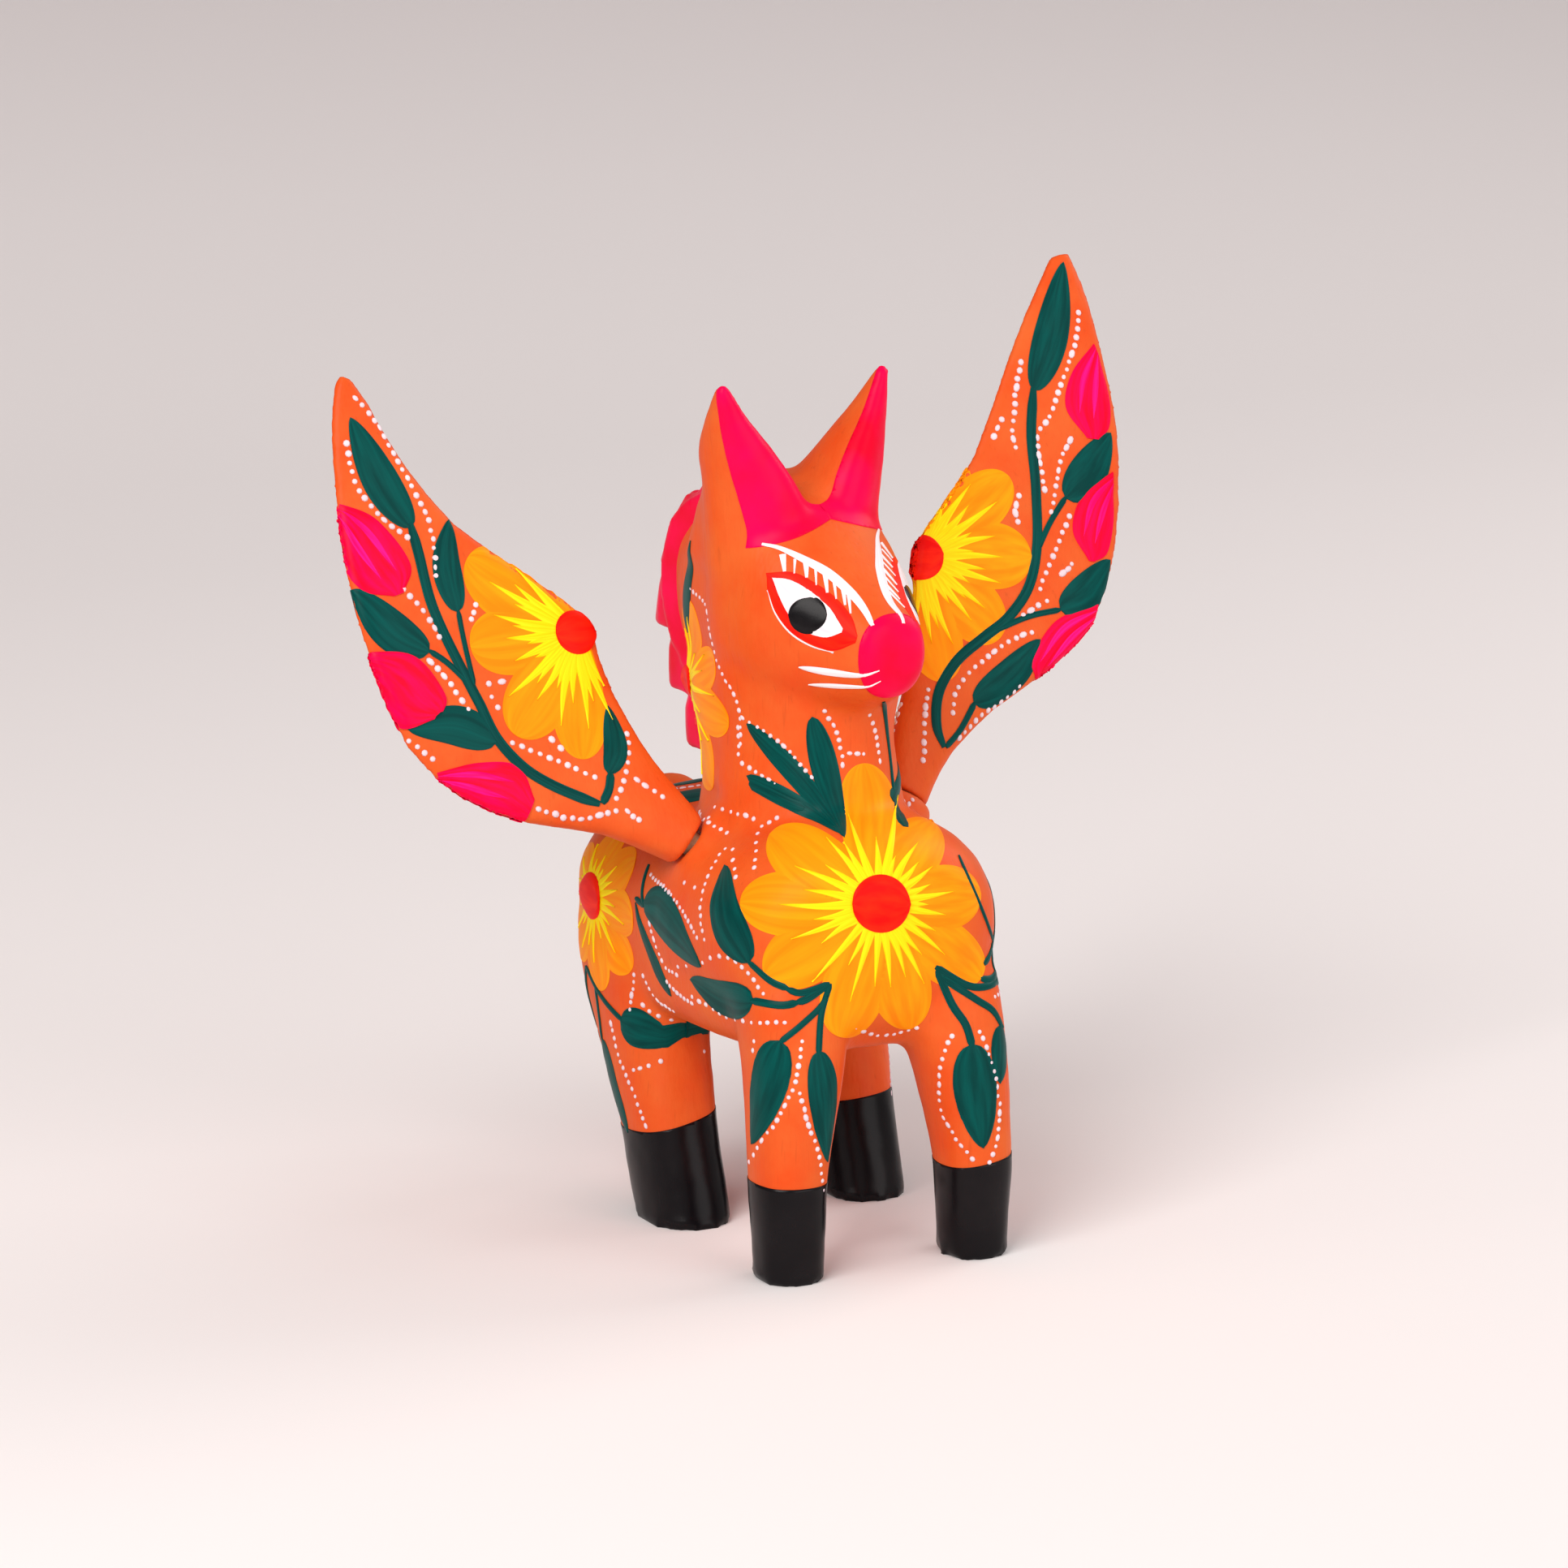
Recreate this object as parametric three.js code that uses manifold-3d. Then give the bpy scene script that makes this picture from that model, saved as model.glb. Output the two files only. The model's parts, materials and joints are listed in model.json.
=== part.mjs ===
// A carved and painted winged horse, the small wooden figure of Oaxacan folk carving.
//
// Body, neck, head, ears and legs are cut from one block of soft copal wood. The two wings and
// the tail are carved apart, and each sits on a round dowel peg that turns and pulls in a socket
// drilled in the block. Millimetres, +Z up, the animal looks along -Y, its left side is +X.
import * as THREE from "three";
import { mergeVertices } from "three/addons/utils/BufferGeometryUtils.js";
import Module from "manifold-3d";

const wasm = await Module();
wasm.setup();

// ---- driving dimensions ----------------------------------------------------------------------

const fitGap = 0.3; // clearance between pieces that touch
const pegRadius = 1.8; // dowel under each wing and under the tail
const pegInBody = 8.5; // depth of a dowel in the block
const pegInPiece = 6.0; // depth of a dowel in the wing or tail that it carries

const bellyHeight = 30.6; // underside of the belly over the ground
const torsoDepth = 30.9; // belly to back
const bodyHalfWidth = 22.5; // torso across, half
const bodyLength = 70; // chest to rump
const chestFront = -21; // foremost point of the chest
const bellyInset = 1.5; // the flat of the belly is this much narrower on each side

const footInset = 7.5; // centre of a foot inside the widest part of the torso
const frontFootBack = 3.8; // centre of a front foot behind the chest
const rearFootAhead = 31.6; // centre of a rear foot ahead of the rump
const frontLegHalf = 5.2; // half width of a front foot
const rearLegHalf = 6.3; // half width of a rear foot
const leftRearStep = 1.8; // the left rear foot stands this much further back

const neckHalfWidth = 12.2;
const neckPlace = 8; // neck axis along the body
const headTurn = THREE.MathUtils.degToRad(10); // the head looks a little to its left
const headRise = 33.8; // middle of the skull over the back
const skullHalfWidth = 14;
const muzzleReach = 22.5; // nose tip ahead of the neck axis
const noseHalfWidth = 5.8;
const earLength = 31.5; // ear tip over the middle of the skull
const earSplay = 0.6; // ear tip outside the side of the skull
const maneHalfWidth = 6.5;

const wingLean = THREE.MathUtils.degToRad(23); // wings lean back from upright
const wingSeatInset = 4.9; // seat of a wing inside the widest part of the torso
const wingSeatPlace = 10; // along the body
const rightSeatDrop = 2.5; // seat below the top of the back
const leftSeatDrop = -0.3; // the left socket was drilled a little higher
const rightRootRise = THREE.MathUtils.degToRad(42); // dowel's rise over the outward direction
const leftRootRise = THREE.MathUtils.degToRad(54);
const rightWingReach = 83.74; // seat to tip
const leftWingReach = 91.08;
const wingThickness = 3.2; // at the broadest part of the blade
const wingRootThickness = 7;
const seatRadius = 5; // flat round seat round each socket
const spotRadius = 9; // wood pared away round a seat, so that the wing can turn

const tailSeatInset = 4; // tail seat ahead of the rump
const tailSeatDrop = 9.5; // tail seat below the back
const tailLength = 34;
const tailRise = THREE.MathUtils.degToRad(20); // dowel's rise over level
const tailHalfWidth = 5;

// Heights and places that follow from the sizes above.
const backHeight = bellyHeight + torsoDepth;
const headHeight = backHeight + headRise;
const rumpBack = chestFront + bodyLength;
const legSpread = bodyHalfWidth - footInset;
const frontFootPlace = chestFront + frontFootBack;
const rearFootPlace = rumpBack - rearFootAhead;

const ringSides = 24; // facets round the body
const fineSides = 16; // facets round legs, ears and wings

// ---- modelling helpers -----------------------------------------------------------------------

function solid(geometry) {
  const bare = geometry.clone();
  bare.deleteAttribute("normal");
  bare.deleteAttribute("uv");
  const merged = mergeVertices(bare, 1e-4);
  return new wasm.Manifold(
    new wasm.Mesh({
      numProp: 3,
      vertProperties: new Float32Array(merged.attributes.position.array),
      triVerts: new Uint32Array(merged.index.array),
    }),
  );
}

function geometryOf(made) {
  const mesh = made.getMesh();
  const geometry = new THREE.BufferGeometry();
  geometry.setAttribute("position", new THREE.BufferAttribute(mesh.vertProperties, 3));
  geometry.setIndex(new THREE.BufferAttribute(mesh.triVerts, 1));
  geometry.computeVertexNormals();
  return geometry;
}

const join = (solids) => solids.reduce((whole, one) => whole.add(one));

// A closed skin drawn over oval rings. Each station has a centre, a side vector and a lift
// vector, both half an axis long; squareness 2 is an ellipse and more is boxier.
function loft(stations, { rings, sides, squareness }) {
  const centres = new THREE.CatmullRomCurve3(stations.map((s) => s.centre), false, "catmullrom", 0.4);
  const sideways = new THREE.CatmullRomCurve3(stations.map((s) => s.side), false, "catmullrom", 0.4);
  const lifts = new THREE.CatmullRomCurve3(stations.map((s) => s.lift), false, "catmullrom", 0.4);
  const travel = centres.getPoint(1).sub(centres.getPoint(0));
  const middle = stations[Math.floor(stations.length / 2)];
  const turned = middle.side.clone().cross(travel).dot(middle.lift) < 0 ? -1 : 1;
  const geometry = new THREE.CylinderGeometry(1, 1, 1, sides, rings);
  const position = geometry.attributes.position;
  const bulge = (value) => Math.sign(value) * Math.abs(value) ** (2 / squareness);
  for (let i = 0; i < position.count; i++) {
    const t = position.getY(i) + 0.5;
    const point = centres.getPoint(t);
    point.addScaledVector(sideways.getPoint(t), bulge(position.getX(i)));
    point.addScaledVector(lifts.getPoint(t), turned * bulge(position.getZ(i)));
    position.setXYZ(i, point.x, point.y, point.z);
  }
  return solid(geometry);
}

const vec = (x, y, z) => new THREE.Vector3(x, y, z);

// A round bar from one point along a direction.
function bar(start, direction, length, radius, sides = 24) {
  const geometry = new THREE.CylinderGeometry(radius, radius, length, sides);
  geometry.translate(0, length / 2, 0);
  geometry.applyQuaternion(new THREE.Quaternion().setFromUnitVectors(vec(0, 1, 0), direction));
  geometry.translate(start.x, start.y, start.z);
  return solid(geometry);
}

// ---- the block: torso, legs, neck, head, ears and mane ----------------------------------------

// A ring across the body: place along it, height range and half width.
const hoop = (place, low, high, halfWidth) => ({
  centre: vec(0, place, (low + high) / 2),
  side: vec(halfWidth, 0, 0),
  lift: vec(0, 0, (high - low) / 2),
});

function torso() {
  const wide = bodyHalfWidth;
  const chestTop = backHeight + 4;
  return loft(
    [
      hoop(chestFront, bellyHeight + 13, chestTop - 10, wide * 0.34),
      hoop(chestFront + 1, bellyHeight + 7.5, chestTop - 6, wide * 0.6),
      hoop(chestFront + 4.5, bellyHeight + 3, chestTop - 2.5, wide * 0.84),
      hoop(chestFront + 12, bellyHeight + 0.8, chestTop, wide * 0.98),
      hoop(chestFront + 24, bellyHeight, chestTop - 0.5, wide),
      hoop(chestFront + 42, bellyHeight, backHeight + 0.5, wide * 0.98),
      hoop(rumpBack - 12, bellyHeight + 0.5, backHeight, wide),
      hoop(rumpBack - 4, bellyHeight + 4, backHeight - 3, wide * 0.82),
      hoop(rumpBack - 1, bellyHeight + 8, backHeight - 7, wide * 0.58),
      hoop(rumpBack, bellyHeight + 12, backHeight - 11, wide * 0.3),
    ],
    { rings: 24, sides: ringSides, squareness: 2.15 },
  );
}

// The belly is left squarer than the back, flush with the inner faces of the legs.
function belly() {
  const wide = bodyHalfWidth - bellyInset;
  return loft(
    [
      hoop(chestFront + 3, bellyHeight + 5, bellyHeight + 20, wide * 0.6),
      hoop(chestFront + 7, bellyHeight + 1, bellyHeight + 24, wide * 0.86),
      hoop(chestFront + 25, bellyHeight - 0.8, bellyHeight + 26, wide),
      hoop(rumpBack - 17, bellyHeight - 0.5, bellyHeight + 24, wide * 0.98),
      hoop(rumpBack - 7, bellyHeight + 3, bellyHeight + 20, wide * 0.7),
    ],
    { rings: 10, sides: ringSides, squareness: 4 },
  );
}

// A ring across an upright limb: centre and half sizes across and along the body.
const slice = (x, y, z, halfAcross, halfAlong) => ({
  centre: vec(x, y, z),
  side: vec(halfAcross, 0, 0),
  lift: vec(0, halfAlong, 0),
});

function frontLeg(side) {
  const half = frontLegHalf;
  return loft(
    [
      slice(side * legSpread, frontFootPlace, 0, half * 0.92, half * 1.02),
      slice(side * legSpread, frontFootPlace + 0.3, bellyHeight * 0.5, half * 1.06, half * 1.16),
      slice(side * (legSpread - 1.8), frontFootPlace + 2, bellyHeight, half * 1.34, half * 1.5),
      slice(side * (legSpread - 3.2), frontFootPlace + 6, bellyHeight + 11.4, half * 1.6, half * 1.75),
      slice(side * (legSpread - 6), frontFootPlace + 11, bellyHeight + 23.4, half * 1.4, half * 1.8),
    ],
    { rings: 10, sides: fineSides, squareness: 2.5 },
  );
}

function rearLeg(side, stepBack) {
  const half = rearLegHalf;
  const foot = rearFootPlace + stepBack;
  return loft(
    [
      slice(side * legSpread, foot, 0, half, half * 1.28),
      slice(side * (legSpread + 0.2), foot + 5, bellyHeight * 0.46, half * 1.04, half * 1.36),
      slice(side * legSpread, foot + 11, bellyHeight * 0.92, half * 1.2, half * 1.76),
      slice(side * (legSpread - 1), foot + 15, bellyHeight + 9.4, half * 1.4, half * 2.1),
      slice(side * (legSpread - 3), foot + 16, bellyHeight + 19.4, half * 1.25, half * 1.9),
    ],
    { rings: 10, sides: fineSides, squareness: 2.5 },
  );
}

const forward = vec(Math.sin(headTurn), -Math.cos(headTurn), 0);
const leftward = vec(Math.cos(headTurn), Math.sin(headTurn), 0);

// A place in the head: how far ahead of the neck axis, how far to its left, how high.
const inHead = (ahead, left, height) =>
  vec(0, neckPlace, height).addScaledVector(forward, ahead).addScaledVector(leftward, left);

function neck() {
  const wide = neckHalfWidth;
  const ring = (y, z, halfAcross, halfAlong, turn) => ({
    centre: vec(0, y, z),
    side: vec(halfAcross, 0, 0).applyAxisAngle(vec(0, 0, 1), turn),
    lift: vec(0, halfAlong, 0).applyAxisAngle(vec(0, 0, 1), turn),
  });
  return loft(
    [
      ring(neckPlace, backHeight - 10, wide * 1.3, 20, 0),
      ring(neckPlace + 0.5, backHeight + 5, wide * 1.1, 17, 0),
      ring(neckPlace + 2.5, backHeight + headRise * 0.41, wide * 1.02, 17.5, headTurn / 2),
      ring(neckPlace + 4.5, backHeight + headRise * 0.71, wide * 1.12, 20.5, headTurn),
      ring(neckPlace + 5, headHeight + 2.2, wide, 20.5, headTurn),
    ],
    { rings: 12, sides: ringSides, squareness: 2.2 },
  );
}

// A ring across the head: place ahead, height range and half width.
const collar = (ahead, low, high, halfWidth) => ({
  centre: inHead(ahead, 0, (low + high) / 2),
  side: leftward.clone().multiplyScalar(halfWidth),
  lift: vec(0, 0, (high - low) / 2),
});

function head() {
  const wide = skullHalfWidth;
  const chin = headHeight - 15;
  return loft(
    [
      collar(-26, headHeight - 8, headHeight + 5, wide * 0.42),
      collar(-22, headHeight - 14, headHeight + 11, wide * 0.74),
      collar(-11, chin - 2, headHeight + 15.5, wide * 0.97),
      collar(-1, chin - 3, headHeight + 15, wide),
      collar(muzzleReach * 0.22, chin - 2.6, headHeight + 12.5, wide * 0.99),
      collar(muzzleReach * 0.44, chin - 1.6, headHeight + 8.5, wide * 0.87),
      collar(muzzleReach * 0.67, chin - 0.2, headHeight + 4.6, wide * 0.68),
      collar(muzzleReach - 3, chin + 1.6, headHeight + 0.8, noseHalfWidth * 1.18),
      collar(muzzleReach - 0.8, chin + 2.7, headHeight - 0.4, noseHalfWidth),
      collar(muzzleReach, chin + 3.9, headHeight - 1.6, noseHalfWidth * 0.8),
    ],
    { rings: 22, sides: ringSides, squareness: 2.35 },
  );
}

// A thick pointed ear: flat in front, rounded behind, upright on its outer edge.
function ear(side) {
  const ring = (height, inner, outer, back, front) => ({
    centre: inHead((back + front) / 2, (side * (inner + outer)) / 2, height),
    side: leftward
      .clone()
      .multiplyScalar((outer - inner) / 2)
      .addScaledVector(forward, (side * (back - front)) / 8),
    lift: forward.clone().multiplyScalar((front - back) / 2),
  });
  const tip = headHeight + earLength;
  const tipSpread = skullHalfWidth + earSplay;
  const tipHalf = 0.9;
  return loft(
    [
      ring(headHeight + 4, 1, skullHalfWidth + 0.2, -18, 5),
      ring(headHeight + earLength * 0.41, 1.2, skullHalfWidth + 0.6, -13.5, 5.2),
      ring(headHeight + earLength * 0.635, skullHalfWidth * 0.4, skullHalfWidth + 1, -8, 3.8),
      ring(tip - 5, tipSpread - 3.8, tipSpread + 0.7, -4, 2),
      ring(tip, tipSpread - tipHalf, tipSpread + tipHalf, -1, 1),
    ],
    { rings: 11, sides: fineSides, squareness: 2.6 },
  );
}

// The pink band of wood that joins the feet of the two ears across the forehead.
function browRidge() {
  const reach = skullHalfWidth - 2;
  const ring = (left, ahead, height) => ({
    centre: inHead(ahead, left, height),
    side: forward.clone().multiplyScalar(1.8),
    lift: vec(0, 0, 1.8),
  });
  return loft(
    [
      ring(-reach, 2, headHeight + 7),
      ring(-reach / 2, 4.3, headHeight + 9.8),
      ring(0, 5, headHeight + 10.8),
      ring(reach / 2, 4.3, headHeight + 9.8),
      ring(reach, 2, headHeight + 7),
    ],
    { rings: 10, sides: 12, squareness: 2 },
  );
}

// One lock of the mane: a wedge that hangs down the back of the neck and steps out at its foot.
function maneLock(top, length, backAtTop, backAtFoot) {
  const depth = 7;
  const ring = (height, back, halfWidth) => ({
    centre: inHead(depth - back, 0, height),
    side: leftward.clone().multiplyScalar(halfWidth),
    lift: forward.clone().multiplyScalar(depth),
  });
  return loft(
    [
      ring(top, backAtTop, maneHalfWidth * 0.8),
      ring(top - length / 2, (backAtTop + backAtFoot) / 2, maneHalfWidth),
      ring(top - length, backAtFoot, maneHalfWidth * 0.9),
    ],
    { rings: 4, sides: 16, squareness: 3 },
  );
}

function mane() {
  return join([
    maneLock(headHeight + 16, 9, 17, 23),
    maneLock(headHeight + 11, 11, 24, 30),
    maneLock(headHeight + 3, 12, 28, 31.5),
    maneLock(headHeight - 6, 12, 26.5, 28),
    maneLock(headHeight - 15, 11, 22.5, 23.5),
    maneLock(headHeight - 23, 10, 17, 17.5),
  ]);
}

// ---- sockets and pegs -------------------------------------------------------------------------

// Where a dowel leaves the block, and the way it points.
function wingSeat(side) {
  const drop = side < 0 ? rightSeatDrop : leftSeatDrop;
  const rise = side < 0 ? rightRootRise : leftRootRise;
  const axis = vec(
    side * Math.cos(rise),
    Math.sin(rise) * Math.sin(wingLean),
    Math.sin(rise) * Math.cos(wingLean),
  );
  const point = vec(side * (bodyHalfWidth - wingSeatInset), wingSeatPlace, backHeight - drop);
  return { point, axis };
}

function tailSeat() {
  const axis = vec(0, Math.cos(tailRise), Math.sin(tailRise));
  return { point: vec(0, rumpBack - tailSeatInset, backHeight - tailSeatDrop), axis };
}

// A flat-topped round seat, level with its plane even where the block falls away.
function boss(seat) {
  const foot = seat.point.clone().addScaledVector(seat.axis, -pegInBody);
  return bar(foot, seat.axis, pegInBody, seatRadius);
}

// The drilled hole, and the wood pared away over the seat plane.
function socket(seat) {
  const bottom = seat.point.clone().addScaledVector(seat.axis, -(pegInBody + fitGap));
  const hole = bar(bottom, seat.axis, pegInBody + 2 * fitGap, pegRadius + fitGap);
  return hole.add(bar(seat.point, seat.axis, spotRadius, spotRadius));
}

function peg(seat) {
  const bottom = seat.point.clone().addScaledVector(seat.axis, -pegInBody);
  return bar(bottom, seat.axis, pegInBody + fitGap + pegInPiece, pegRadius);
}

// A wing or tail ends flat just over its seat, and is drilled for the dowel.
function cutForPeg(piece, seat) {
  const depth = 14;
  const below = seat.point.clone().addScaledVector(seat.axis, fitGap - depth);
  const clearance = bar(below, seat.axis, depth, spotRadius);
  const bore = bar(seat.point, seat.axis, fitGap + pegInPiece + fitGap, pegRadius + fitGap);
  return piece.subtract(clearance).subtract(bore);
}

function block() {
  const parts = [
    torso(),
    belly(),
    frontLeg(-1),
    frontLeg(1),
    rearLeg(-1, 0),
    rearLeg(1, leftRearStep),
    neck(),
    head(),
    ear(-1),
    ear(1),
    browRidge(),
    mane(),
  ];
  const seats = [wingSeat(-1), wingSeat(1), tailSeat()];
  const whole = join([...parts, ...seats.map(boss)]);
  return whole.subtract(join(seats.map(socket)));
}

// ---- wings and tail ---------------------------------------------------------------------------

// Blade sections from root to tip: inner edge and outer edge as out and up in the wing's plane.
const rightBlade = [
  [-3.4, 0.4, 1.4, -3.8],
  [-1.6, 4.6, 5.2, -1.6],
  [1.6, 9.6, 13.2, 2.4],
  [4.8, 15.5, 24.8, 5.3],
  [7.4, 22.5, 34.4, 10],
  [8.8, 29, 41.4, 18],
  [9.8, 34.6, 44.9, 31.2],
  [18.5, 42, 46.2, 43],
  [28.1, 50.2, 45.8, 56],
  [34, 59, 44.6, 66],
  [38.2, 68.5, 43, 71.8],
  [40.4, 72.6, 42, 73.2],
];

const leftBlade = [
  [-3.6, 1, 2.4, -2.6],
  [-2, 5.4, 5, 1.2],
  [0.4, 10.4, 9.2, 5.8],
  [3, 16, 17.4, 11.6],
  [5.4, 23, 28, 16.8],
  [7.6, 30, 37, 23],
  [9.6, 37.6, 43.2, 34],
  [16, 44.2, 46.6, 47],
  [22, 50.6, 47.5, 58],
  [29.7, 63.2, 46.8, 68],
  [35.2, 71.8, 45.8, 75.4],
  [41.2, 80, 44.4, 80.4],
];

// The root keeps its size whatever the reach, because it has to fit its dowel and seat.
function wing(side, blade, reach) {
  const seat = wingSeat(side);
  const normal = vec(0, -Math.cos(wingLean), Math.sin(wingLean));
  const upward = vec(0, Math.sin(wingLean), Math.cos(wingLean));
  const place = (out, up) => seat.point.clone().add(vec(side * out, 0, 0)).addScaledVector(upward, up);
  const last = blade.length - 1;
  const [tipInOut, tipInUp, tipOutOut, tipOutUp] = blade[last];
  const drawnReach = Math.hypot(tipInOut + tipOutOut, tipInUp + tipOutUp) / 2;
  const stations = blade.map(([innerOut, innerUp, outerOut, outerUp], i) => {
    const along = i / last;
    const stretch = 1 + (reach / drawnReach - 1) * along;
    const inner = place(innerOut * stretch, innerUp * stretch);
    const outer = place(outerOut * stretch, outerUp * stretch);
    const rootShare = Math.max(0, 1 - along * 2.2) ** 1.2;
    const tipShare = Math.max(0, along - 0.6) / 0.4;
    const thick = wingThickness + (wingRootThickness - wingThickness) * rootShare - 1.4 * tipShare;
    return {
      centre: inner.clone().add(outer).multiplyScalar(0.5),
      side: outer.sub(inner).multiplyScalar(0.5),
      lift: normal.clone().multiplyScalar(thick / 2),
    };
  });
  return cutForPeg(loft(stations, { rings: 22, sides: fineSides, squareness: 2.6 }), seat);
}

// A short tail that leaves the rump along its dowel and hangs down close behind it.
function tail() {
  const seat = tailSeat();
  const half = tailHalfWidth;
  const hang = (back, down) => seat.point.clone().add(vec(0, back, -down));
  const ring = (centre, halfWide, thick, turn) => ({
    centre,
    side: vec(halfWide, 0, 0),
    lift: vec(0, Math.cos(turn), Math.sin(turn)).multiplyScalar(thick),
  });
  const upright = tailRise + Math.PI / 2;
  const stations = [
    ring(seat.point.clone().addScaledVector(seat.axis, -1), half * 0.9, 4.4, upright),
    ring(seat.point.clone().addScaledVector(seat.axis, 5), half, 4.6, upright),
    ring(hang(9.6, -1.6), half * 1.1, 4.6, upright * 0.6),
    ring(hang(12.6, tailLength * 0.22), half * 1.15, 4, 0.1),
    ring(hang(12.6, tailLength * 0.6), half, 3.4, 0),
    ring(hang(11.4, tailLength * 0.88), half * 0.55, 2, 0),
    ring(hang(10.6, tailLength), half * 0.2, 0.9, 0),
  ];
  return cutForPeg(loft(stations, { rings: 18, sides: fineSides, squareness: 2.3 }), seat);
}

// ---- the assembly -----------------------------------------------------------------------------

const paintedOrange = { color: 0xe8642d, roughness: 0.5, metalness: 0 };
const bareWood = { color: 0xd9b98a, roughness: 0.8, metalness: 0 };

function piece(name, made, finish) {
  const mesh = new THREE.Mesh(geometryOf(made), new THREE.MeshStandardMaterial(finish));
  mesh.name = name;
  return mesh;
}

const carving = new THREE.Group();
carving.add(piece("body", block(), paintedOrange));
carving.add(piece("right_wing", wing(-1, rightBlade, rightWingReach), paintedOrange));
carving.add(piece("left_wing", wing(1, leftBlade, leftWingReach), paintedOrange));
carving.add(piece("right_wing_peg", peg(wingSeat(-1)), bareWood));
carving.add(piece("left_wing_peg", peg(wingSeat(1)), bareWood));
carving.add(piece("tail", tail(), paintedOrange));
carving.add(piece("tail_peg", peg(tailSeat()), bareWood));

// The origin is on the ground under the middle of the whole figure.
const box = new THREE.Box3().setFromObject(carving);
const middle = box.getCenter(vec(0, 0, 0));
carving.position.set(-middle.x, -middle.y, -box.min.z);

const figure = new THREE.Group();
figure.add(carving);

export default figure;
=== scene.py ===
import json
import math
import random

import bpy
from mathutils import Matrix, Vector, noise
from mathutils.bvhtree import BVHTree


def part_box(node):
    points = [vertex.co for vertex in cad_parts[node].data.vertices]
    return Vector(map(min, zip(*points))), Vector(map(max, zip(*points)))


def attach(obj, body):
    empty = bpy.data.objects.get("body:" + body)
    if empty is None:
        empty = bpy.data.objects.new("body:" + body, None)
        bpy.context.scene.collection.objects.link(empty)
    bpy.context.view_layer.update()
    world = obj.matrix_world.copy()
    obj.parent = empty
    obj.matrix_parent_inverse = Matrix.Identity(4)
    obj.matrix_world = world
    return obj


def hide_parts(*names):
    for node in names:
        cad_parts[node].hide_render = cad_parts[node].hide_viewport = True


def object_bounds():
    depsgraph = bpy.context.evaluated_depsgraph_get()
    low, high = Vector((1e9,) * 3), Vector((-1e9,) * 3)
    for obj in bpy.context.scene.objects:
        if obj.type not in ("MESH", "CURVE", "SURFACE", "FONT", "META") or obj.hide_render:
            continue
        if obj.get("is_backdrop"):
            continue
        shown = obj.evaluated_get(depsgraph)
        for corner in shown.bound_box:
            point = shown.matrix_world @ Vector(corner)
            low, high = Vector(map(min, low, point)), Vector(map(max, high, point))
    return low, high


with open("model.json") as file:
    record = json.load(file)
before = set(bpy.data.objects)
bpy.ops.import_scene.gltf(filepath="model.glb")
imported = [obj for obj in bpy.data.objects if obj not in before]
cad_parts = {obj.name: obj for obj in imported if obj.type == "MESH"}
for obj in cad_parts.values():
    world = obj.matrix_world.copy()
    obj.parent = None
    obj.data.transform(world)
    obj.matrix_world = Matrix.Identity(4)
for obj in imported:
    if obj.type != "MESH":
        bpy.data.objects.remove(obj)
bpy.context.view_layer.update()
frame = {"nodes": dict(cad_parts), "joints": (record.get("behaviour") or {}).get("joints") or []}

MM = 0.001
block_low, block_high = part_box("body")

# ---- the view --------------------------------------------------------------------------------
# The figure stands a little turned on a pale table, seen from its right and from slightly above.
block_middle = (block_low + block_high) / 2
aim = Vector((block_middle.x - 4.55 * MM, block_low.y + 28.15 * MM, 67.3 * MM))
view_turn = math.radians(-26.6)
view_rise = math.radians(12.8)
view_distance = 1.0


def towards(turn, rise):
    """The direction of somebody who stands that far round the figure and looks down on it."""
    level = math.cos(rise)
    return Vector((math.sin(turn) * level, -math.cos(turn) * level, math.sin(rise)))


bpy.ops.object.camera_add(location=aim + towards(view_turn, view_rise) * view_distance)
camera = bpy.context.object
camera.rotation_mode = "QUATERNION"
camera.rotation_quaternion = (-towards(view_turn, view_rise)).to_track_quat("-Z", "Y")
camera.data.lens = 157.8
camera.data.clip_start = 0.05
bpy.context.scene.camera = camera

# The table and the wall behind it are one pale sheet with a soft corner. Its colour darkens to a
# grey-pink up the wall: painted shade, where less light reaches.
bpy.ops.mesh.primitive_grid_add(x_subdivisions=2, y_subdivisions=60, size=6)
sweep = bpy.context.object
sweep.name = "table_and_wall"
table_depth = 0.6
for point in sweep.data.vertices:
    beyond = max(0.0, point.co.y - table_depth)
    point.co.z = 0.9 * beyond * beyond
    point.co.x *= 1.5
bpy.ops.object.shade_smooth()
cloth = bpy.data.materials.new("pale_sheet_with_painted_shade")
cloth.use_nodes = True
cloth_shader = cloth.node_tree.nodes["Principled BSDF"]
cloth_places = cloth.node_tree.nodes.new("ShaderNodeTexCoord")
cloth_height = cloth.node_tree.nodes.new("ShaderNodeSeparateXYZ")
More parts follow.
